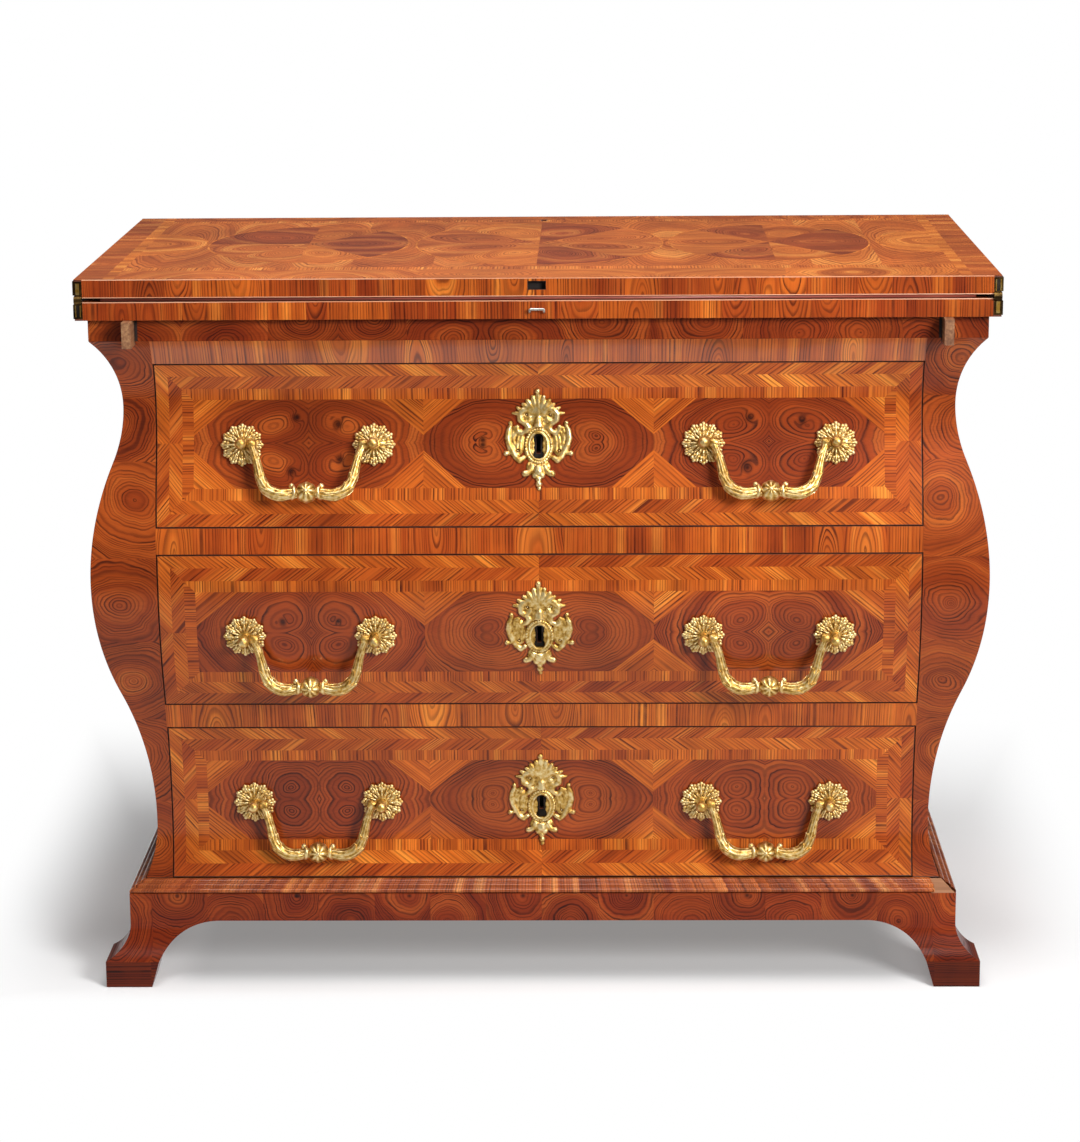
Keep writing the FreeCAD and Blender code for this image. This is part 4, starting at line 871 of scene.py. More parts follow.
# writing surface: leather on the lower leaf in a crossbanded frame, and a gold line tooled on both leathers
deskLook = {"top": 817.5, "half": 446.0, "front": -224.0, "back": 173.5, "edge": 510.0, "line": (13.0, 1.3),
            "step": 60.0, "shade": (-0.3, 0.5, 0.4), "play": 0.3}
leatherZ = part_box("writing_leather")[0].z / mm


def onDesk(a, b, lift):
    return Vector((a, b, deskLook["top"] + lift)) * mm


def onLeather(a, b, lift):
    return Vector((a, b, leatherZ - lift)) * mm


half, front, back, edge = [deskLook[key] for key in ("half", "front", "back", "edge")]
inlay("lowerLeather", "carcass", [plain(rectangle(-half, front, half, back))], onDesk, finishName="tannedLeather",
      lift=0.15, thick=0.3)
dice = random.Random("desk")
strips = []
for corners, along, angle in (
        ((-edge, leafFront + 2, edge, front), (1, 0), 90), ((-edge, back, edge, leafBack - 1), (1, 0), 90),
        ((-edge, front, -half, back), (0, 1), 0), ((half, front, edge, back), (0, 1), 0)):
    strips += run(rectangle(*corners), along, angle, deskLook["step"], dice, *deskLook["shade"])
strikeLow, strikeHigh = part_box("leaf_strike_plate")
play = deskLook["play"]
strikeRoom = ((strikeLow.x / mm - play, strikeLow.y / mm - play),
              (strikeHigh.x / mm + play, strikeHigh.y / mm + play))
inlay("lowerDeskVeneer", "carcass", strips, onDesk, lift=0.12, thick=0.3, holes=[strikeRoom])
inset, width = deskLook["line"]
a0, b0, a1, b1 = -half + inset, front + inset, half - inset, back - inset
tooled = [plain(rectangle(*corners)) for corners in (
    (a0, b0, a1, b0 + width), (a0, b1 - width, a1, b1), (a0, b0 + width, a0 + width, b1 - width),
    (a1 - width, b0 + width, a1, b1 - width))]
for name, body, place, lift in (("upperTooledLine", "leaf", onLeather, 0.04),
                                ("lowerTooledLine", "carcass", onDesk, 0.2)):
    inlay(name, body, tooled, place, finishName="rubbedBrass", lift=lift, thick=0.2)

# top: border, pale crossband and a field of three quartered ovals with pale stringing
topLay = {
    "border": 32.0, "band": 13.0, "frontBorder": 70.0, "frontBand": 22.0, "backBorder": 38.0, "backBand": 16.0,
    "bandFront": 60.0, "bandBack": 26.0, "middle": 28.0, "stringMm": 2.2, "inset": 0.04, "stringRise": 0.08,
    "keyRoom": ((-4.2, 242.4), (4.2, 259.2)),
    # ovals: centre, half width, half depth, then sectors from angle to angle with depth and lightness
    "ovals": (
        (-281.0, 121.0, 166.0, (
            (-57, 55, 0.85, -0.1), (55, 90, 0.25, 0.2), (90, 180, 0.9, 0.0), (180, 235, 0.2, 0.0),
            (235, 270, 0.1, 0.1), (270, 303, 0.05, 0.4))),
        (-2.0, 149.0, 197.0, (
            (0, 53, 0.35, 0.2), (53, 90, 0.85, 0.0), (90, 127, 0.05, 0.5), (127, 180, 0.45, 0.0),
            (180, 232, 0.35, 0.1), (232, 270, 0.05, 0.5), (270, 308, 0.85, 0.0), (308, 360, 0.3, 0.2))),
        (275.0, 121.0, 166.0, (
            (-57, 57, 0.9, -0.05), (57, 90, 0.2, 0.2), (90, 126, 0.8, 0.0), (126, 235, 0.15, 0.3),
            (235, 270, 0.8, 0.0), (270, 303, 0.1, 0.3))),
    ),
    "steps": {"rim": 75.0, "side": 110.0, "front": 150.0, "cross": 55.0, "back": 130.0, "field": 80.0},
    "ends": ((-475.0, 70.0, 96.0, 0.05, 0.5), (475.0, 70.0, 96.0, 0.0, 0.7)),
}
dice = random.Random("top")
edge, steps = carcass["leafHalf"], topLay["steps"]
fieldA = edge - topLay["border"] - topLay["band"]
borderHigh, fieldLow = leafFront + topLay["frontBorder"], leafFront + topLay["frontBorder"] + topLay["frontBand"]
fieldHigh = leafBack - topLay["backBorder"] - topLay["backBand"]
bandLow, bandHigh = leafFront + topLay["bandFront"], leafBack - topLay["bandBack"]
pieces = []
for side in (-1, 1):
    outer, inner, rim = side * (edge - topLay["border"]), side * fieldA, side * edge
    near, far = sorted((outer, inner))
    strip = rectangle(min(rim, outer), leafFront, max(rim, outer), leafBack)
    pieces += run(strip, (0, 1), 0, steps["rim"], dice, -0.15, 0.35, 0.4, 0.3)
    for low, high, lightness, depth in ((bandLow, bandHigh, 0.75, 0.0), (leafFront, bandLow, 0.1, 0.15),
                                        (bandHigh, leafBack, 0.1, 0.15)):
        pieces += run(rectangle(near, low, far, high), (0, 1), 0, steps["side"], dice, lightness, depth, 0.15)
pieces += oysterRow(-fieldA, leafFront, 0.0, borderHigh, steps["front"], dice, 0.2, 0.25)
pieces += oysterRow(0.0, leafFront, fieldA, borderHigh, steps["front"], dice, 0.15, 0.35)
for low, high, lightness, depth in ((borderHigh, fieldLow, 0.4, 0.05),
                                    (fieldHigh, fieldHigh + topLay["backBand"], 0.2, 0.1)):
    strip = rectangle(-fieldA, low, fieldA, high)
    pieces += run(strip, (1, 0), 90, steps["cross"], dice, lightness, depth, 0.3)
pieces += oysterRow(-fieldA, leafBack - topLay["backBorder"], fieldA, leafBack, steps["back"], dice, 0.3, 0.1)
field = rectangle(-fieldA, fieldLow, fieldA, fieldHigh)
pieces += run(field, (1, 0), 90, steps["field"], dice, 0.2, 0.2, 0.3, 1.0)


def ovalPoint(centre, a, b, angle, grow=0.0):
    return (centre + (a + grow) * math.cos(math.radians(angle)),
            topLay["middle"] + (b + grow) * math.sin(math.radians(angle)))


def ovalAngle(a, b, angle):  # turns a direction on the board into the oval's own parameter
    turn = math.degrees(math.atan2(a * math.sin(math.radians(angle)), b * math.cos(math.radians(angle))))
    return turn + 360 * round((angle - turn) / 360)


def stringing(centre, a, b, start, end):
    count, half = max(6, int(abs(end - start) / 7)), topLay["stringMm"] / 2
    stops = [start + (end - start) * k / count for k in range(count + 1)]
    quads = []
    for here, there in zip(stops, stops[1:]):
        corners = ((here, -half), (here, half), (there, half), (there, -half))
        quads.append([ovalPoint(centre, a, b, angle, grow) for angle, grow in corners])
    return [piece(quad, straightGrain(0), 0.0, 0.9, 3.0, 0.0, topLay["stringRise"]) for quad in quads]


for centre, a, b, sectors in topLay["ovals"]:
    for start, end, depth, shade in sectors:
        first, stop = ovalAngle(a, b, start), ovalAngle(a, b, end)
        count = max(4, int((stop - first) / 6))
        arc = [ovalPoint(centre, a, b, first + (stop - first) * k / count) for k in range(count + 1)]
        heart = ovalPoint(centre, a * 0.5, b * 0.5, (first + stop) / 2)
        grain = ringGrain(*heart, 1.5, (start + end) / 2)
        pieces.append(piece([(centre, topLay["middle"])] + arc, grain, 1.0, shade, dice.uniform(*seeds), depth,
                            topLay["inset"]))
    pieces += stringing(centre, a, b, 0.0, 360.0)
for centre, a, b, depth, shade in topLay["ends"]:
    begin = -90.0 if centre < 0 else 90.0
    arc = [ovalPoint(centre, a, b, begin + 180 * k / 24) for k in range(25)]
    pieces.append(piece(arc, ringGrain(centre, topLay["middle"], 1.0), 1.0, shade, dice.uniform(*seeds), depth,
                        topLay["inset"]))
    pieces += stringing(centre, a, b, begin, begin + 180.0)
inlay("topMarquetry", "leaf", pieces, onTop, finishName="fadedVeneer", lift=0.1, thick=0.4,
      holes=[topLay["keyRoom"]])
print("top and leaf edges veneered")


# gilt-bronze mounts: cast relief, each drawer's rosettes in one casting set
def seatOnFront(x, z, lift=0.0):  # local x along the drawer, y up the curve, z outward
    outward = Vector((0, -1, lean(z))).normalized()
    along = Vector((1, 0, 0))
    seat = Matrix.Identity(4)
    for column, axis in enumerate((along, outward.cross(along), outward)):
        seat.col[column].xyz = axis
    seat.translation = onFront(x, z, lift) / mm
    return seat


def startCasting():
    mesh = bmesh.new()
    return mesh, mesh.verts.layers.float.new("relief")


def addGrid(casting, points, reliefs):
    mesh, layer = casting
    grid = [[mesh.verts.new(p * mm) for p in row] for row in points]
    for row, values in zip(grid, reliefs):
        for vert, value in zip(row, values):
            vert[layer] = value
    return grid


def addShell(casting, tops, bottoms, reliefs):  # a grid of points with its underside, closed by a rim
    mesh = casting[0]
    upper, under = [addGrid(casting, points, reliefs) for points in (tops, bottoms)]
    rows, columns = range(len(tops) - 1), range(len(tops[0]) - 1)
    for i in rows:
        for j in columns:
            mesh.faces.new((upper[i][j], upper[i][j + 1], upper[i + 1][j + 1], upper[i + 1][j])).smooth = True
            mesh.faces.new((under[i][j], under[i + 1][j], under[i + 1][j + 1], under[i][j + 1])).smooth = True
    for i, order in ((0, 1), (len(rows), -1)):
        for j in columns:
            mesh.faces.new((upper[i][j + 1], upper[i][j], under[i][j], under[i][j + 1])[::order])
    for i in rows:
        for j, order in ((0, 1), (len(columns), -1)):
            mesh.faces.new((upper[i][j], upper[i + 1][j], under[i + 1][j], under[i][j])[::order])


def addSweep(casting, rings, reliefs, order=1):  # rings of points joined along, with a cap at each end
    mesh, grid = casting[0], addGrid(casting, rings, reliefs)
    for here, there in zip(grid, grid[1:]):
        for k in range(len(here)):
            n = (k + 1) % len(here)
            mesh.faces.new((here[k], here[n], there[n], there[k])[::order]).smooth = True
    mesh.faces.new(grid[0][::-order])
    mesh.faces.new(grid[-1][::order])


def addBall(casting, seat, radius, stretch=(1, 1, 1), relief=0.7, detail=2):
    mesh, layer = casting
    place = Matrix.Scale(mm, 4) @ seat @ Matrix.Diagonal((*stretch, 1))
    made = bmesh.ops.create_icosphere(mesh, subdivisions=detail, radius=radius, matrix=place)
    for vert in made["verts"]:
        vert[layer] = relief
        for face in vert.link_faces:
            face.smooth = True


def circle(count):
    return [2 * math.pi * k / count for k in range(count)]


def addLathe(casting, seat, profile, count=32):  # turned solid: radius, height from outside in
    rings = [[seat @ Vector((r * math.cos(t), r * math.sin(t), h)) for t in circle(count)] for r, h in profile]
    addSweep(casting, rings, [[-0.3] * count] * len(rings))


def addRing(casting, seat, reach, radius, count=28, tube=10):  # round bar closed on itself
    points = []
    for turn in circle(count):
        outs = [(reach + radius * math.cos(bend), radius * math.sin(bend)) for bend in circle(tube)]
        points.append([seat @ Vector((out * math.cos(turn), out * math.sin(turn), rise)) for out, rise in outs])
    grid = addGrid(casting, points, [[0.8 * math.cos(bend) for bend in circle(tube)]] * count)
    for here, there in zip(grid, grid[1:] + grid[:1]):
        for j in range(tube):
            n = (j + 1) % tube
            casting[0].faces.new((here[j], there[j], there[n], here[n])).smooth = True


def addTube(casting, points, radius, count=14):  # round bar along a bent line
    axis, rings = None, []
    for k, spot in enumerate(points):
        ahead, behind = points[min(k + 1, len(points) - 1)], points[max(k - 1, 0)]
        heading = (ahead - behind).normalized()
        axis = (axis or heading.orthogonal()).cross(heading).cross(heading).normalized() * -1
        other = heading.cross(axis)
        rings.append([spot + radius * (axis * math.cos(t) + other * math.sin(t)) for t in circle(count)])
    addSweep(casting, rings, [[0.3] * count] * len(rings))


rosetteLook = {
    "leaves": 12, "petals": 16, "postX": 75.5, "handleX": 264.0,
    # lobes of one leaf: offset, reach, height, radius, stretch
    "lobes": ((0.0, 22.3, 4.2, 2.5, (1.0, 1.1, 0.8)), (-3.2, 20.4, 4.4, 2.2, (0.9, 1.15, 0.8)),
              (3.2, 20.4, 4.4, 2.2, (0.9, 1.15, 0.8)), (-2.5, 16.6, 5.4, 1.9, (0.8, 1.5, 0.9)),
              (2.5, 16.6, 5.4, 1.9, (0.8, 1.5, 0.9)), (0.0, 16.4, 6.0, 1.7, (0.9, 3.6, 1.0))),
    "base": ((20.8, -0.4), (20.8, 2.6), (16.0, 4.6), (8.0, 5.4), (6.2, 7.0), (4.0, 7.2)),
    "petal": (10.4, 7.0, 1.35, (1.0, 2.9, 1.25)), "tip": (13.9, 7.4, 1.45),
    "middle": {"bottom": 212.0, "middle": 429.0, "top": 646.0},
}


def castRosettes(name):
    look = rosetteLook
    casting = startCasting()
    for handle, post in ((-1, -1), (-1, 1), (1, -1), (1, 1)):
        seat = seatOnFront(handle * look["handleX"] + post * look["postX"], look["middle"][name])
        addLathe(casting, seat, look["base"])
        for angle in circle(look["leaves"]):
            turn = seat @ Matrix.Rotation(angle, 4, "Z")
            for offset, reach, height, radius, stretch in look["lobes"]:
                addBall(casting, turn @ Matrix.Translation((offset, reach, height)), radius, stretch, 0.5)
        for angle in circle(look["petals"]):
            turn = seat @ Matrix.Rotation(angle, 4, "Z")
            reach, height, radius, stretch = look["petal"]
            addBall(casting, turn @ Matrix.Translation((0, reach, height)), radius, stretch, 0.6)
            reach, height, radius = look["tip"]
            addBall(casting, turn @ Matrix.Translation((0, reach, height)), radius, relief=0.9, detail=1)
    finishPiece(name + "DrawerRosettes", casting[0], name + "_drawer", "giltBronze",
                (name + "_drawer_rosettes",))


# bail handles: fluted leafy arms that meet at a flower-headed ball
bailLook = {
    "path": ((64.0, 0.0), (60.8, -9.0), (58.0, -18.0), (55.8, -27.0), (53.8, -36.0), (51.0, -44.5), (46.4, -52.0),
             (38.6, -57.6), (29.0, -60.0), (15.0, -58.2), (0.0, -57.0)),
    "eyeX": 64.0, "drop": 57.0, "off": 14.0, "rest": 10.0, "steps": 52, "round": 48,
    "girth": ((0.0, 4.7), (0.10, 4.2), (0.24, 4.5), (0.36, 5.3), (0.48, 5.6), (0.62, 6.6), (0.76, 7.0), (0.86, 6.2),
              (1.0, 4.5)),
    "flutes": 9, "fluteDepth": 0.09, "fluteTurn": 3.0, "fluteStart": 8, "relief": 0.6,
    "eye": ((0.8, -5.4), (4.0, -5.4), (5.5, -4.2), (5.5, 4.2), (4.0, 5.4), (0.8, 5.4)),
    # leaves wrapped on the bar: share at the root, length and height; then share of length, half angle and lift
    "leafAt": ((0.56, 0.17, 5.2), (0.72, 0.17, 6.3), (0.88, 0.17, 6.2), (0.05, -0.16, 3.9)),
    "leafTip": ((0.0, 0.72, -0.5), (0.3, 0.78, 0.3), (0.6, 0.6, 0.7), (0.85, 0.32, 1.0), (1.0, 0.05, 1.5)),
    "leafWave": 0.3, "leafThick": 1.4,
    "collar": (16.0, 22.0, 6.6, 2.3), "curl": (17.0, -1.0, 7.4, 3.4),  # reach, turn or rise, then radii
    "knob": 12.2, "knobPetals": 8, "knobDepth": 0.055, "knobRelief": 0.9, "bud": (0.4, 2.4),
}


def bailPath(share):  # share 0 at the eye, 1 at the middle; right arm, local x and z with their heading
    stops = bailLook["path"]
    spot = share * (len(stops) - 1)
    k = min(int(spot), len(stops) - 2)
    t = spot - k
    p0, p1, p2 = stops[max(k - 1, 0)], stops[k], stops[k + 1]
    p3 = stops[k + 2] if k + 2 < len(stops) else (-stops[-2][0], stops[-2][1])
    place, heading = [], []
    for a, b, c, d in zip(p0, p1, p2, p3):
        square, cube = 2 * a - 5 * b + 4 * c - d, 3 * b - a - 3 * c + d
        place.append(0.5 * (2 * b + (c - a) * t + square * t * t + cube * t ** 3))
        heading.append(0.5 * ((c - a) + 2 * square * t + 3 * cube * t * t))
    size = math.hypot(*heading)
    return place[0], place[1], heading[0] / size, heading[1] / size


def addArm(casting, hang, arm):
    look, rings, reliefs = bailLook, [], []
    stops = look["girth"]
    for k in range(look["steps"] + 1):
        share = k / look["steps"]
        px, pz, hx, hz = bailPath(share)
        girth = next(g0 + (g1 - g0) * (share - s0) / (s1 - s0)
                     for (s0, g0), (s1, g1) in zip(stops, stops[1:]) if share <= s1)
        ring, values = [], []
        for turn in circle(look["round"]):
            wave = math.cos(look["flutes"] * turn + look["fluteTurn"] * share)
            reach = girth * (1 + look["fluteDepth"] * wave * min(1, share * look["fluteStart"]))
            out = reach * math.cos(turn)
            ring.append(hang @ Vector((arm * (px - hz * out), reach * math.sin(turn), pz + hx * out)))
            values.append(look["relief"] * wave)
        rings.append(ring)
        reliefs.append(values)
    addSweep(casting, rings, reliefs, -arm)


def addWraps(casting, hang, arm):  # four leaves round the bar at each root
    look = bailLook
    across = [-1 + v / 4 for v in range(9)]
    waves = [math.cos(2 * math.pi * v) for v in across]
    for share, length, rise in look["leafAt"]:
        for quarter in (45, 135, 225, 315):
            tops, bottoms = [], []
            for part, half, lift in look["leafTip"]:
                px, pz, hx, hz = bailPath(share - part * length)
                turns = [math.radians(quarter) + half * v for v in across]
                outward = [Vector((arm * -hz * math.cos(t), math.sin(t), hx * math.cos(t))) for t in turns]
                spot, reach = Vector((arm * px, 0, pz)), rise + lift
                tops.append([hang @ (spot + o * (reach + look["leafWave"] * w)) for o, w in zip(outward, waves)])
                bottoms.append([hang @ (spot + o * (reach - look["leafThick"])) for o in outward])
            addShell(casting, tops, bottoms, [[look["relief"] * w for w in waves]] * len(tops))


def addKnob(casting, knob):
    look, (mesh, layer) = bailLook, casting
    upright = Matrix.Scale(mm, 4) @ knob @ Matrix.Rotation(math.pi / 2, 4, "X")
    made = bmesh.ops.create_uvsphere(mesh, u_segments=40, v_segments=20, radius=look["knob"], matrix=upright)
    centre = (knob @ Vector()) * mm
    back = knob.to_3x3().inverted()
    for vert in made["verts"]:
        spot = back @ (vert.co - centre)
        turn, polar = math.atan2(spot.z, spot.x), math.hypot(spot.x, spot.z) / (look["knob"] * mm)
        wave = math.cos(look["knobPetals"] * turn) * min(1.0, polar * 2.2) * (1 - max(0, polar - 0.85) * 4)
        vert.co = centre + (vert.co - centre) * (1 + look["knobDepth"] * wave)
        vert[layer] = look["knobRelief"] * wave
        for face in vert.link_faces:
            face.smooth = True
    sunk, radius = look["bud"]
    addBall(casting, knob @ Matrix.Translation((0, sunk - look["knob"], 0)), radius, (1, 0.7, 1), 0.9)


def castBail(name, side, hand):
    look = bailLook
    x, z = side * rosetteLook["handleX"], rosetteLook["middle"][name]
    slope = math.atan2(lean(z), 1.0)
    hang = Matrix.Translation(onFront(x, z, look["off"]) / mm)
    hang = hang @ Matrix.Rotation(-slope - math.radians(look["rest"]), 4, "X")
    acrossBar = Matrix.Rotation(math.pi / 2, 4, "Y")
    casting = startCasting()
    for arm in (-1, 1):
        addArm(casting, hang, arm)
        addWraps(casting, hang, arm)
        reach, tilt, *radii = look["collar"]
        collar = hang @ Matrix.Translation((arm * reach, 0, -look["drop"])) @ acrossBar
        addRing(casting, collar @ Matrix.Rotation(arm * math.radians(tilt), 4, "X"), *radii)
        reach, y, rise, radius = look["curl"]
        curl = hang @ Matrix.Translation((arm * reach, y, -look["drop"] + rise))
        addBall(casting, curl, radius, (1, 0.9, 1), 0.7)
        addLathe(casting, hang @ Matrix.Translation((arm * look["eyeX"], 0, 0)) @ acrossBar, look["eye"], 28)
    addKnob(casting, hang @ Matrix.Translation((0, 0, -look["drop"])))
    mesh, body = casting[0], name + "_drawer_" + hand + "_bail"
    bmesh.ops.recalc_face_normals(mesh, faces=mesh.faces)
    finishPiece(name + "Drawer" + hand.capitalize() + "Bail", mesh, body, "giltBronze", (body,))


# rounded edge of the writing bed, and the steel staple below it
beadLook = {"half": 490.6, "y": 2.0, "z": 819.85, "radius": 1.85}
stapleLook = {
    "radius": 1.35,
    "line": ((-8.1, 9.0, 804.2), (-8.1, -1.0, 804.2), (-8.1, -3.6, 804.6), (-8.1, -4.7, 805.6), (-8.1, -5.1, 806.8),
             (-8.1, -5.1, 807.5), (-7.6, -5.1, 807.85), (-6.8, -5.1, 807.9)),
}
casting = startCasting()
bead = [Vector((side * beadLook["half"], leafFront + beadLook["y"], beadLook["z"])) for side in (-1, 0, 1)]
addTube(casting, bead, beadLook["radius"])
finishPiece("bedBead", casting[0], "leaf", "cherryBead")
half = [Vector((x, leafFront + y, z)) for x, y, z in stapleLook["line"]]
casting = startCasting()
addTube(casting, half + [Vector((-p.x, p.y, p.z)) for p in half[::-1]], stapleLook["radius"])
finishPiece("locatingStaple", casting[0], "carcass", "filedSteel", ("locating_staple",))

# keyhole plates: modelled in clay as tapered strokes, cast, pierced and bent to the drawer
plateLook = {
    "step": 0.75, "base": 1.3, "rise": 0.85, "fuller": 1.12, "halfA": 41.0, "halfB": 60.0, "ovalB": -7.8,
    "lift": {"top": 5.5, "middle": 5.5, "bottom": 1.5},
    # strokes: points a, b and radius, left half and centre, mirrored where a side is meant
    "middle": (
        ((0, 28, 2.4), (-0.3, 42, 3.1), (-0.6, 52, 2.4)), ((-0.8, 55.2, 3.0),),
        ((0, 13, 5.6), (0, 21, 4.2), (0, 28, 1.6)), ((0, -30, 4.4), (0, -35, 5.2)), ((-3.6, -39.5, 3.6),),
        ((3.6, -39.5, 3.6),), ((0, -43.5, 3.4),), ((0.4, -49.0, 3.5),), ((0.8, -54.0, 2.2),),
    ),
    "sides": (
        ((-1, 29, 2.0), (-4.6, 41, 3.2), (-6.2, 48.5, 2.3)), ((-2, 29, 2.0), (-8.6, 38.5, 3.2), (-12.4, 44.4, 2.2)),
        ((-3, 28, 1.8), (-11, 36.0, 3.0), (-17.6, 39.8, 2.0)),
        ((-7, 30, 2.0), (-12, 34.5, 2.6), (-17.5, 33.5, 3.0), (-21.5, 28.5, 3.2), (-20.8, 22, 3.3),
         (-16.2, 18.6, 3.2), (-11.4, 20.5, 2.6), (-9.8, 25.0, 2.2)),
        ((-18, 33, 2.2), (-22.4, 35.0, 2.2), (-24.4, 36.0, 1.4)),
        ((-21, 30, 2.4), (-25.4, 29.4, 2.2), (-29.4, 29.6, 1.2)),
        ((-14, 17, 3.0), (-11.5, 13, 3.2), (-14.5, 9, 2.8), (-19.5, 6.4, 2.4), (-23.5, 8.5, 2.4),
         (-25.0, 13.2, 2.4)),
        ((-32.0, 18.4, 2.3),),
        ((-31.4, 16.5, 1.8), (-34.4, 9.5, 2.9), (-35.4, 1.0, 3.2), (-33.4, -6.5, 3.2), (-29.6, -13.5, 2.9),
         (-26.6, -19.5, 2.9), (-21.6, -23.6, 3.0), (-17.2, -20.6, 2.6)),
        ((-27.5, 12.5, 2.2), (-24.0, 13.8, 2.3)), ((-30, -14, 1.8), (-34.2, -15.8, 1.9), (-37.2, -15.8, 2.8)),
        ((-28.5, 7.0, 1.5), (-29.5, 0.0, 1.8), (-26.5, -6.5, 1.6)), ((-22.0, -2.0, 1.4), (-24.0, -8.0, 1.5)),
        ((-6, -27.5, 3.0), (-8.5, -33.0, 3.0), (-12.0, -37.0, 3.0), (-15.8, -37.8, 3.3)),
    ),
    "webs": ((0, 34, 19, 13.5), (0, 40, 9, 12), (14, 27.5, 10.5, 10.5), (7, 15, 9.5, 10), (26, -4, 11, 16),
             (25, 5, 9, 8.5), (6, -31, 8, 8)),
    "webHeight": 1.2, "webRib": 0.3, "webEdge": 5, "ribs": 4.4,
    "eyes": ((13.6, 27.8, 1.7), (23.6, -13.0, 1.7)), "screw": 1.15, "screwLift": 1.2,
    "oval": (17.4, 21.2), "beadOval": (14.9, 18.7), "beadCount": 34, "beadSize": 1.35, "beadLift": 1.4,
    "rimOval": (10.7, 15.4), "dish": (9, 0.7, 1.5), "lip": (6, 2.9),
    # key opening under the rim's middle: round head, waist and foot, as height, half width, half height
    "key": ((8.0, 5.4, 5.4), (0.0, 4.6, 9.0), (-1.6, 5.2, 1.3), (-9.2, 5.8, 4.4)), "keyRound": 0.8, "foot": -0.35,
    "chase": (2, 0.35, 1.9), "edgeRelief": -0.9,  # how bulge and height over a level brighten the metal
}


def plateField():  # heights and reach of the plate on a grid
    look = plateLook
    lines = [numpy.linspace(-half, half, int(2 * half / look["step"]) + 1)
             for half in (look["halfA"], look["halfB"])]
    gridA, gridB = numpy.meshgrid(*lines, indexing="ij")
    reach = numpy.full(gridA.shape, -9.0)
    height = numpy.zeros(gridA.shape)
    mirrored = tuple(tuple((-a, b, r) for a, b, r in stroke) for stroke in look["sides"])
    for stroke in look["middle"] + look["sides"] + mirrored:
        for (a0, b0, r0), (a1, b1, r1) in zip(stroke, stroke[1:] or stroke):
            span = max((a1 - a0) ** 2 + (b1 - b0) ** 2, 1e-6)
            share = numpy.clip(((gridA - a0) * (a1 - a0) + (gridB - b0) * (b1 - b0)) / span, 0, 1)
            radius = look["fuller"] * (r0 + share * (r1 - r0))
            apart = numpy.hypot(gridA - a0 - share * (a1 - a0), gridB - b0 - share * (b1 - b0))
            reach = numpy.maximum(reach, radius - apart)
            height = numpy.maximum(height, look["rise"] * numpy.sqrt(numpy.maximum(radius ** 2 - apart ** 2, 0)))
    fromOval = gridB - look["ovalB"]
    ring, rim = [numpy.hypot(gridA / look[key][0], fromOval / look[key][1]) for key in ("oval", "rimOval")]
    ribbed = look["webHeight"] + look["webRib"] * numpy.sin(2 * math.pi * look["ribs"] * ring)
    for side in (-1, 1):
        for a, b, reachA, reachB in look["webs"]:
            web = 1 - numpy.hypot((gridA - side * a) / reachA, (gridB - b) / reachB)
            reach = numpy.maximum(reach, web * min(reachA, reachB))
            height = numpy.maximum(height, numpy.clip(web * look["webEdge"], 0, 1) * ribbed)
    for side in (-1, 1):
        for a, b, radius in look["eyes"]:
            reach = numpy.minimum(reach, numpy.hypot(gridA - side * a, gridB - b) - radius)
    reach = numpy.maximum(reach, (1 - ring) * look["oval"][0])
    slope, inner, outer = look["dish"]
    dish = numpy.clip((1 - ring) * slope, 0, 1) * numpy.where(rim < 1, inner, outer)
    narrow, tall = look["lip"]
    lip = numpy.sqrt(numpy.clip(1 - numpy.abs(rim - 1) * narrow, 0, 1)) * tall
    height = numpy.where(ring < 1, numpy.maximum(dish, lip), height)
    for turn in circle(look["beadCount"]):
        a, b = look["beadOval"][0] * math.cos(turn), look["beadOval"][1] * math.sin(turn)
        apart = numpy.hypot(gridA - a, gridB - (look["ovalB"] + b))
        bead = look["beadLift"] + numpy.sqrt(numpy.maximum(look["beadSize"] ** 2 - apart ** 2, 0))
        height = numpy.where(apart < look["beadSize"], numpy.maximum(height, bead), height)
    for rise, halfA, halfB in look["key"]:
        corner = look["keyRound"] * min(halfA, halfB)
        apart = numpy.hypot(numpy.maximum(numpy.abs(gridA) - halfA + corner, 0),
                            numpy.maximum(numpy.abs(fromOval - rise) - halfB + corner, 0))
        reach = numpy.minimum(reach, apart - corner)
    return gridA, gridB, reach, height


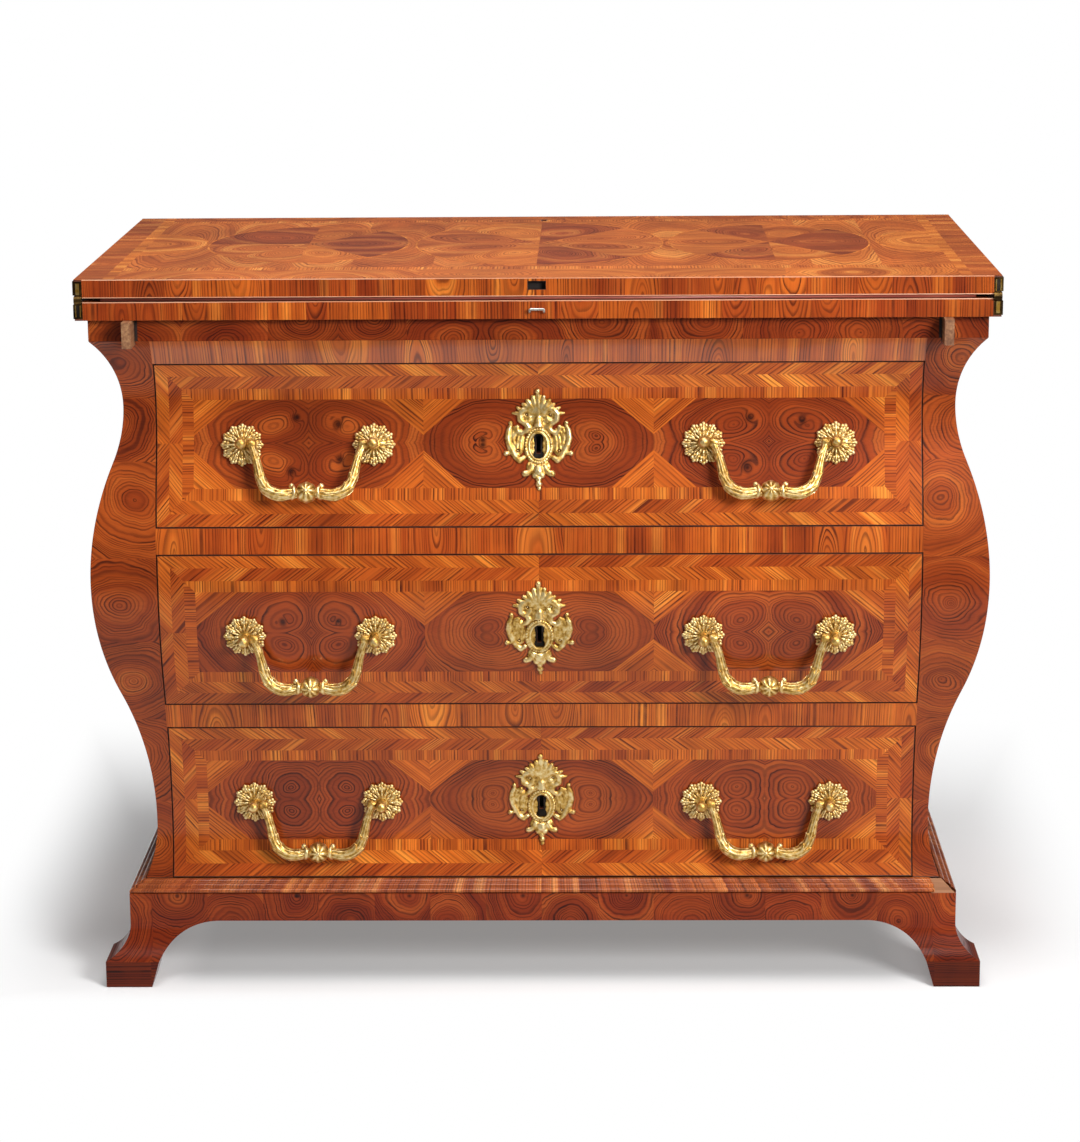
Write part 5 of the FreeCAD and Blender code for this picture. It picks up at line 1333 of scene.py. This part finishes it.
def castPlate(name):
    look = plateLook
    gridA, gridB, reach, height = plateField()
    soft = (height + sum(numpy.roll(height, *turn) for turn in ((1, 0), (-1, 0), (1, 1), (-1, 1)))) / 5
    mid = rosetteLook["middle"][name] + look["lift"][name]
    casting = startCasting()
    mesh, layer = casting
    tops, lows, borders = {}, {}, {}
    bulgeShare, riseShare, level = look["chase"]

    def take(key, a, b, rise, relief):
        if key not in tops:
            for store, lift in ((tops, look["base"] + rise), (lows, look["foot"])):
                store[key] = mesh.verts.new(onFront(a, mid + b, lift))
                store[key][layer] = relief
        return key

    for i in range(gridA.shape[0] - 1):
        for j in range(gridA.shape[1] - 1):
            loop = ((i, j), (i + 1, j), (i + 1, j + 1), (i, j + 1))
            ring = []
            for here, there in zip(loop, loop[1:] + loop[:1]):
                r0, r1 = reach[here], reach[there]
                if r0 > 0:
                    relief = (height[here] - soft[here]) * bulgeShare + riseShare * (soft[here] - level)
                    ring.append(take(here, gridA[here], gridB[here], soft[here], max(-1, min(1, relief))))
                if (r0 > 0) != (r1 > 0):
                    share = r0 / (r0 - r1)
                    a, b = [grid[here] + share * (grid[there] - grid[here]) for grid in (gridA, gridB)]
                    ring.append(take(tuple(sorted((here, there))), a, b, 0.0, look["edgeRelief"]))
            if len(ring) < 3:
                continue
            mesh.faces.new([tops[k] for k in ring]).smooth = True
            mesh.faces.new([lows[k] for k in ring[::-1]])
            openEdges(borders, ring)
    for here, there in borders:
        mesh.faces.new((tops[there], tops[here], lows[here], lows[there]))
    for a, b, radius in look["eyes"]:
        for side in (-1, 1):
            addBall(casting, seatOnFront(side * a, mid + b, look["screwLift"]), look["screw"], (1, 1, 1.3), 1.0)
    bmesh.ops.recalc_face_normals(mesh, faces=mesh.faces)
    finishPiece(name + "DrawerEscutcheon", mesh, name + "_drawer", "giltBronze",
                (name + "_drawer_escutcheon",))


for name in drawers:
    castRosettes(name)
    castPlate(name)
    for side, hand in hands:
        castBail(name, side, hand)
print("mounts cast")

# floor, light and camera
stageLook = {
    "floorHalf": 6.0, "floorDrop": 0.0005, "fadeSide": (0.55, 0.72), "fadeFront": (-0.26, -0.32),
    "fadeBack": (0.3, 0.9), "underSide": (0.4, 0.5), "underFront": (-0.22, -0.29), "paintedShadowShare": 0.6,
    "paintedShadowGrey": 0.42, "floorGlow": 0.08, "floorShine": 0.9, "farShine": 0.03, "shineReach": (-1.3, -2.1),
    "paint": "#F4F4F4", "bounce": "#B4B4B4",
    "worldLight": 0.11, "worldShine": (0.1, 0.3), "ceiling": (0.6, 0.9), "aim": (0, 0, 0.45),
    # place, width in m and power in W
    "lamps": {"key": ((2.2, -2.9, 2.1), 1.2, 153.0), "fill": ((-2.4, -2.8, 1.4), 2.5, 9.0),
              "over": ((0.0, -0.7, 2.8), 1.5, 50.0), "back": ((-0.3, 2.6, 3.4), 1.0, 20.0)},
}
white = (1.0, 1.0, 1.0, 1.0)
floorMesh = bmesh.new()
bmesh.ops.create_grid(floorMesh, x_segments=2, y_segments=2, size=stageLook["floorHalf"])
floorData = bpy.data.meshes.new("studioFloor")
floorMesh.to_mesh(floorData)
floorMesh.free()
floor = bpy.data.objects.new("studioFloor", floorData)
floor.location.z = -stageLook["floorDrop"]
bpy.context.scene.collection.objects.link(floor)
paper, add = startMaterial("paintedStudioFloor")  # matt white paint that keeps the shadow and fades to plain white, with a grey painted shadow under the commode
sides = add("SeparateXYZ", add("TexCoord", out="Object"), out=None)
wide = add("Math ABSOLUTE", sides[0])
fades = [add("MapRange", value, *stageLook[key], stageLook["floorGlow"], interpolation_type="SMOOTHSTEP")
         for value, key in ((wide, "fadeSide"), (sides[1], "fadeFront"), (sides[1], "fadeBack"))]
fade = add("Math MAXIMUM", add("Math MAXIMUM", fades[0], fades[1]), fades[2])
# under the commode the camera sees a grey painted shadow mixed into the real one
under = [add("MapRange", value, *stageLook[key], 1.0, 0.0, interpolation_type="SMOOTHSTEP")
         for value, key in ((wide, "underSide"), (sides[1], "underFront"))]
under = add("Math MULTIPLY", *under)
fade = add("Mix", under, None, fade, stageLook["paintedShadowShare"])
path = add("LightPath", out=None)
seen = add("Math MAXIMUM", path["Is Camera Ray"], path["Is Transmission Ray"])
level = add("Mix", under, None, 1.0, stageLook["paintedShadowGrey"])
near, far = stageLook["shineReach"]
nearby = add("MapRange", sides[1], far, near, stageLook["farShine"], stageLook["floorShine"])  # dim far out
matt = add("MixShader", path["Is Diffuse Ray"], add("BsdfDiffuse", Color=toLinear(stageLook["paint"])),
           add("BsdfDiffuse", Color=toLinear(stageLook["bounce"])))
blend = add("MixShader", add("Math MULTIPLY", fade, seen), matt, add("Emission", Color=white, Strength=level))
blend = add("MixShader", path["Is Glossy Ray"], blend, add("Emission", Color=white, Strength=nearby))
add("OutputMaterial", blend, out=None)
floorData.materials.append(paper)

world = bpy.data.worlds.new("studioRoom")
bpy.context.scene.world = world
world.use_nodes = True
world.node_tree.nodes.clear()
add = functools.partial(addNode, world.node_tree)
path = add("LightPath", out=None)
seen = add("Math MAXIMUM", path["Is Camera Ray"], path["Is Transmission Ray"])
upward = add("SeparateXYZ", add("TexCoord", out="Generated"), out=None)[2]
ceiling = add("MapRange", upward, *stageLook["ceiling"], *stageLook["worldShine"])  # lit ceiling, dark walls
level = add("Mix", path["Is Glossy Ray"], None, stageLook["worldLight"], ceiling)
level = add("Mix", seen, None, level, 1.0)
add("OutputWorld", add("Background", Color=white, Strength=level), out=None)

for name, (spot, width, power) in stageLook["lamps"].items():
    lamp = bpy.data.lights.new(name + "Softbox", "AREA")
    lamp.shape = "SQUARE"
    lamp.size = width
    lamp.energy = power
    box = bpy.data.objects.new(name + "Softbox", lamp)
    box.location = spot
    box.rotation_euler = (Vector(stageLook["aim"]) - Vector(spot)).to_track_quat("-Z", "Y").to_euler()
    bpy.context.scene.collection.objects.link(box)

cameraLook = {"spot": (0.0682, -3.7958, 1.3395), "pitch": 13.308, "yaw": 1.087, "roll": -0.427, "lens": 105.62}
camera = bpy.data.cameras.new("viewCamera")
camera.lens = cameraLook["lens"]
camera.sensor_fit = "HORIZONTAL"
camera.sensor_width = 36.0
view = bpy.data.objects.new("viewCamera", camera)
view.location = cameraLook["spot"]
aim = Matrix.Rotation(math.radians(cameraLook["yaw"]), 4, "Z") @ Matrix.Rotation(
    math.radians(90 - cameraLook["pitch"]), 4, "X") @ Matrix.Rotation(math.radians(cameraLook["roll"]), 4, "Z")
view.rotation_euler = aim.to_euler()
bpy.context.scene.collection.objects.link(view)
bpy.context.scene.camera = view
bpy.context.scene.view_settings.view_transform = "Standard"
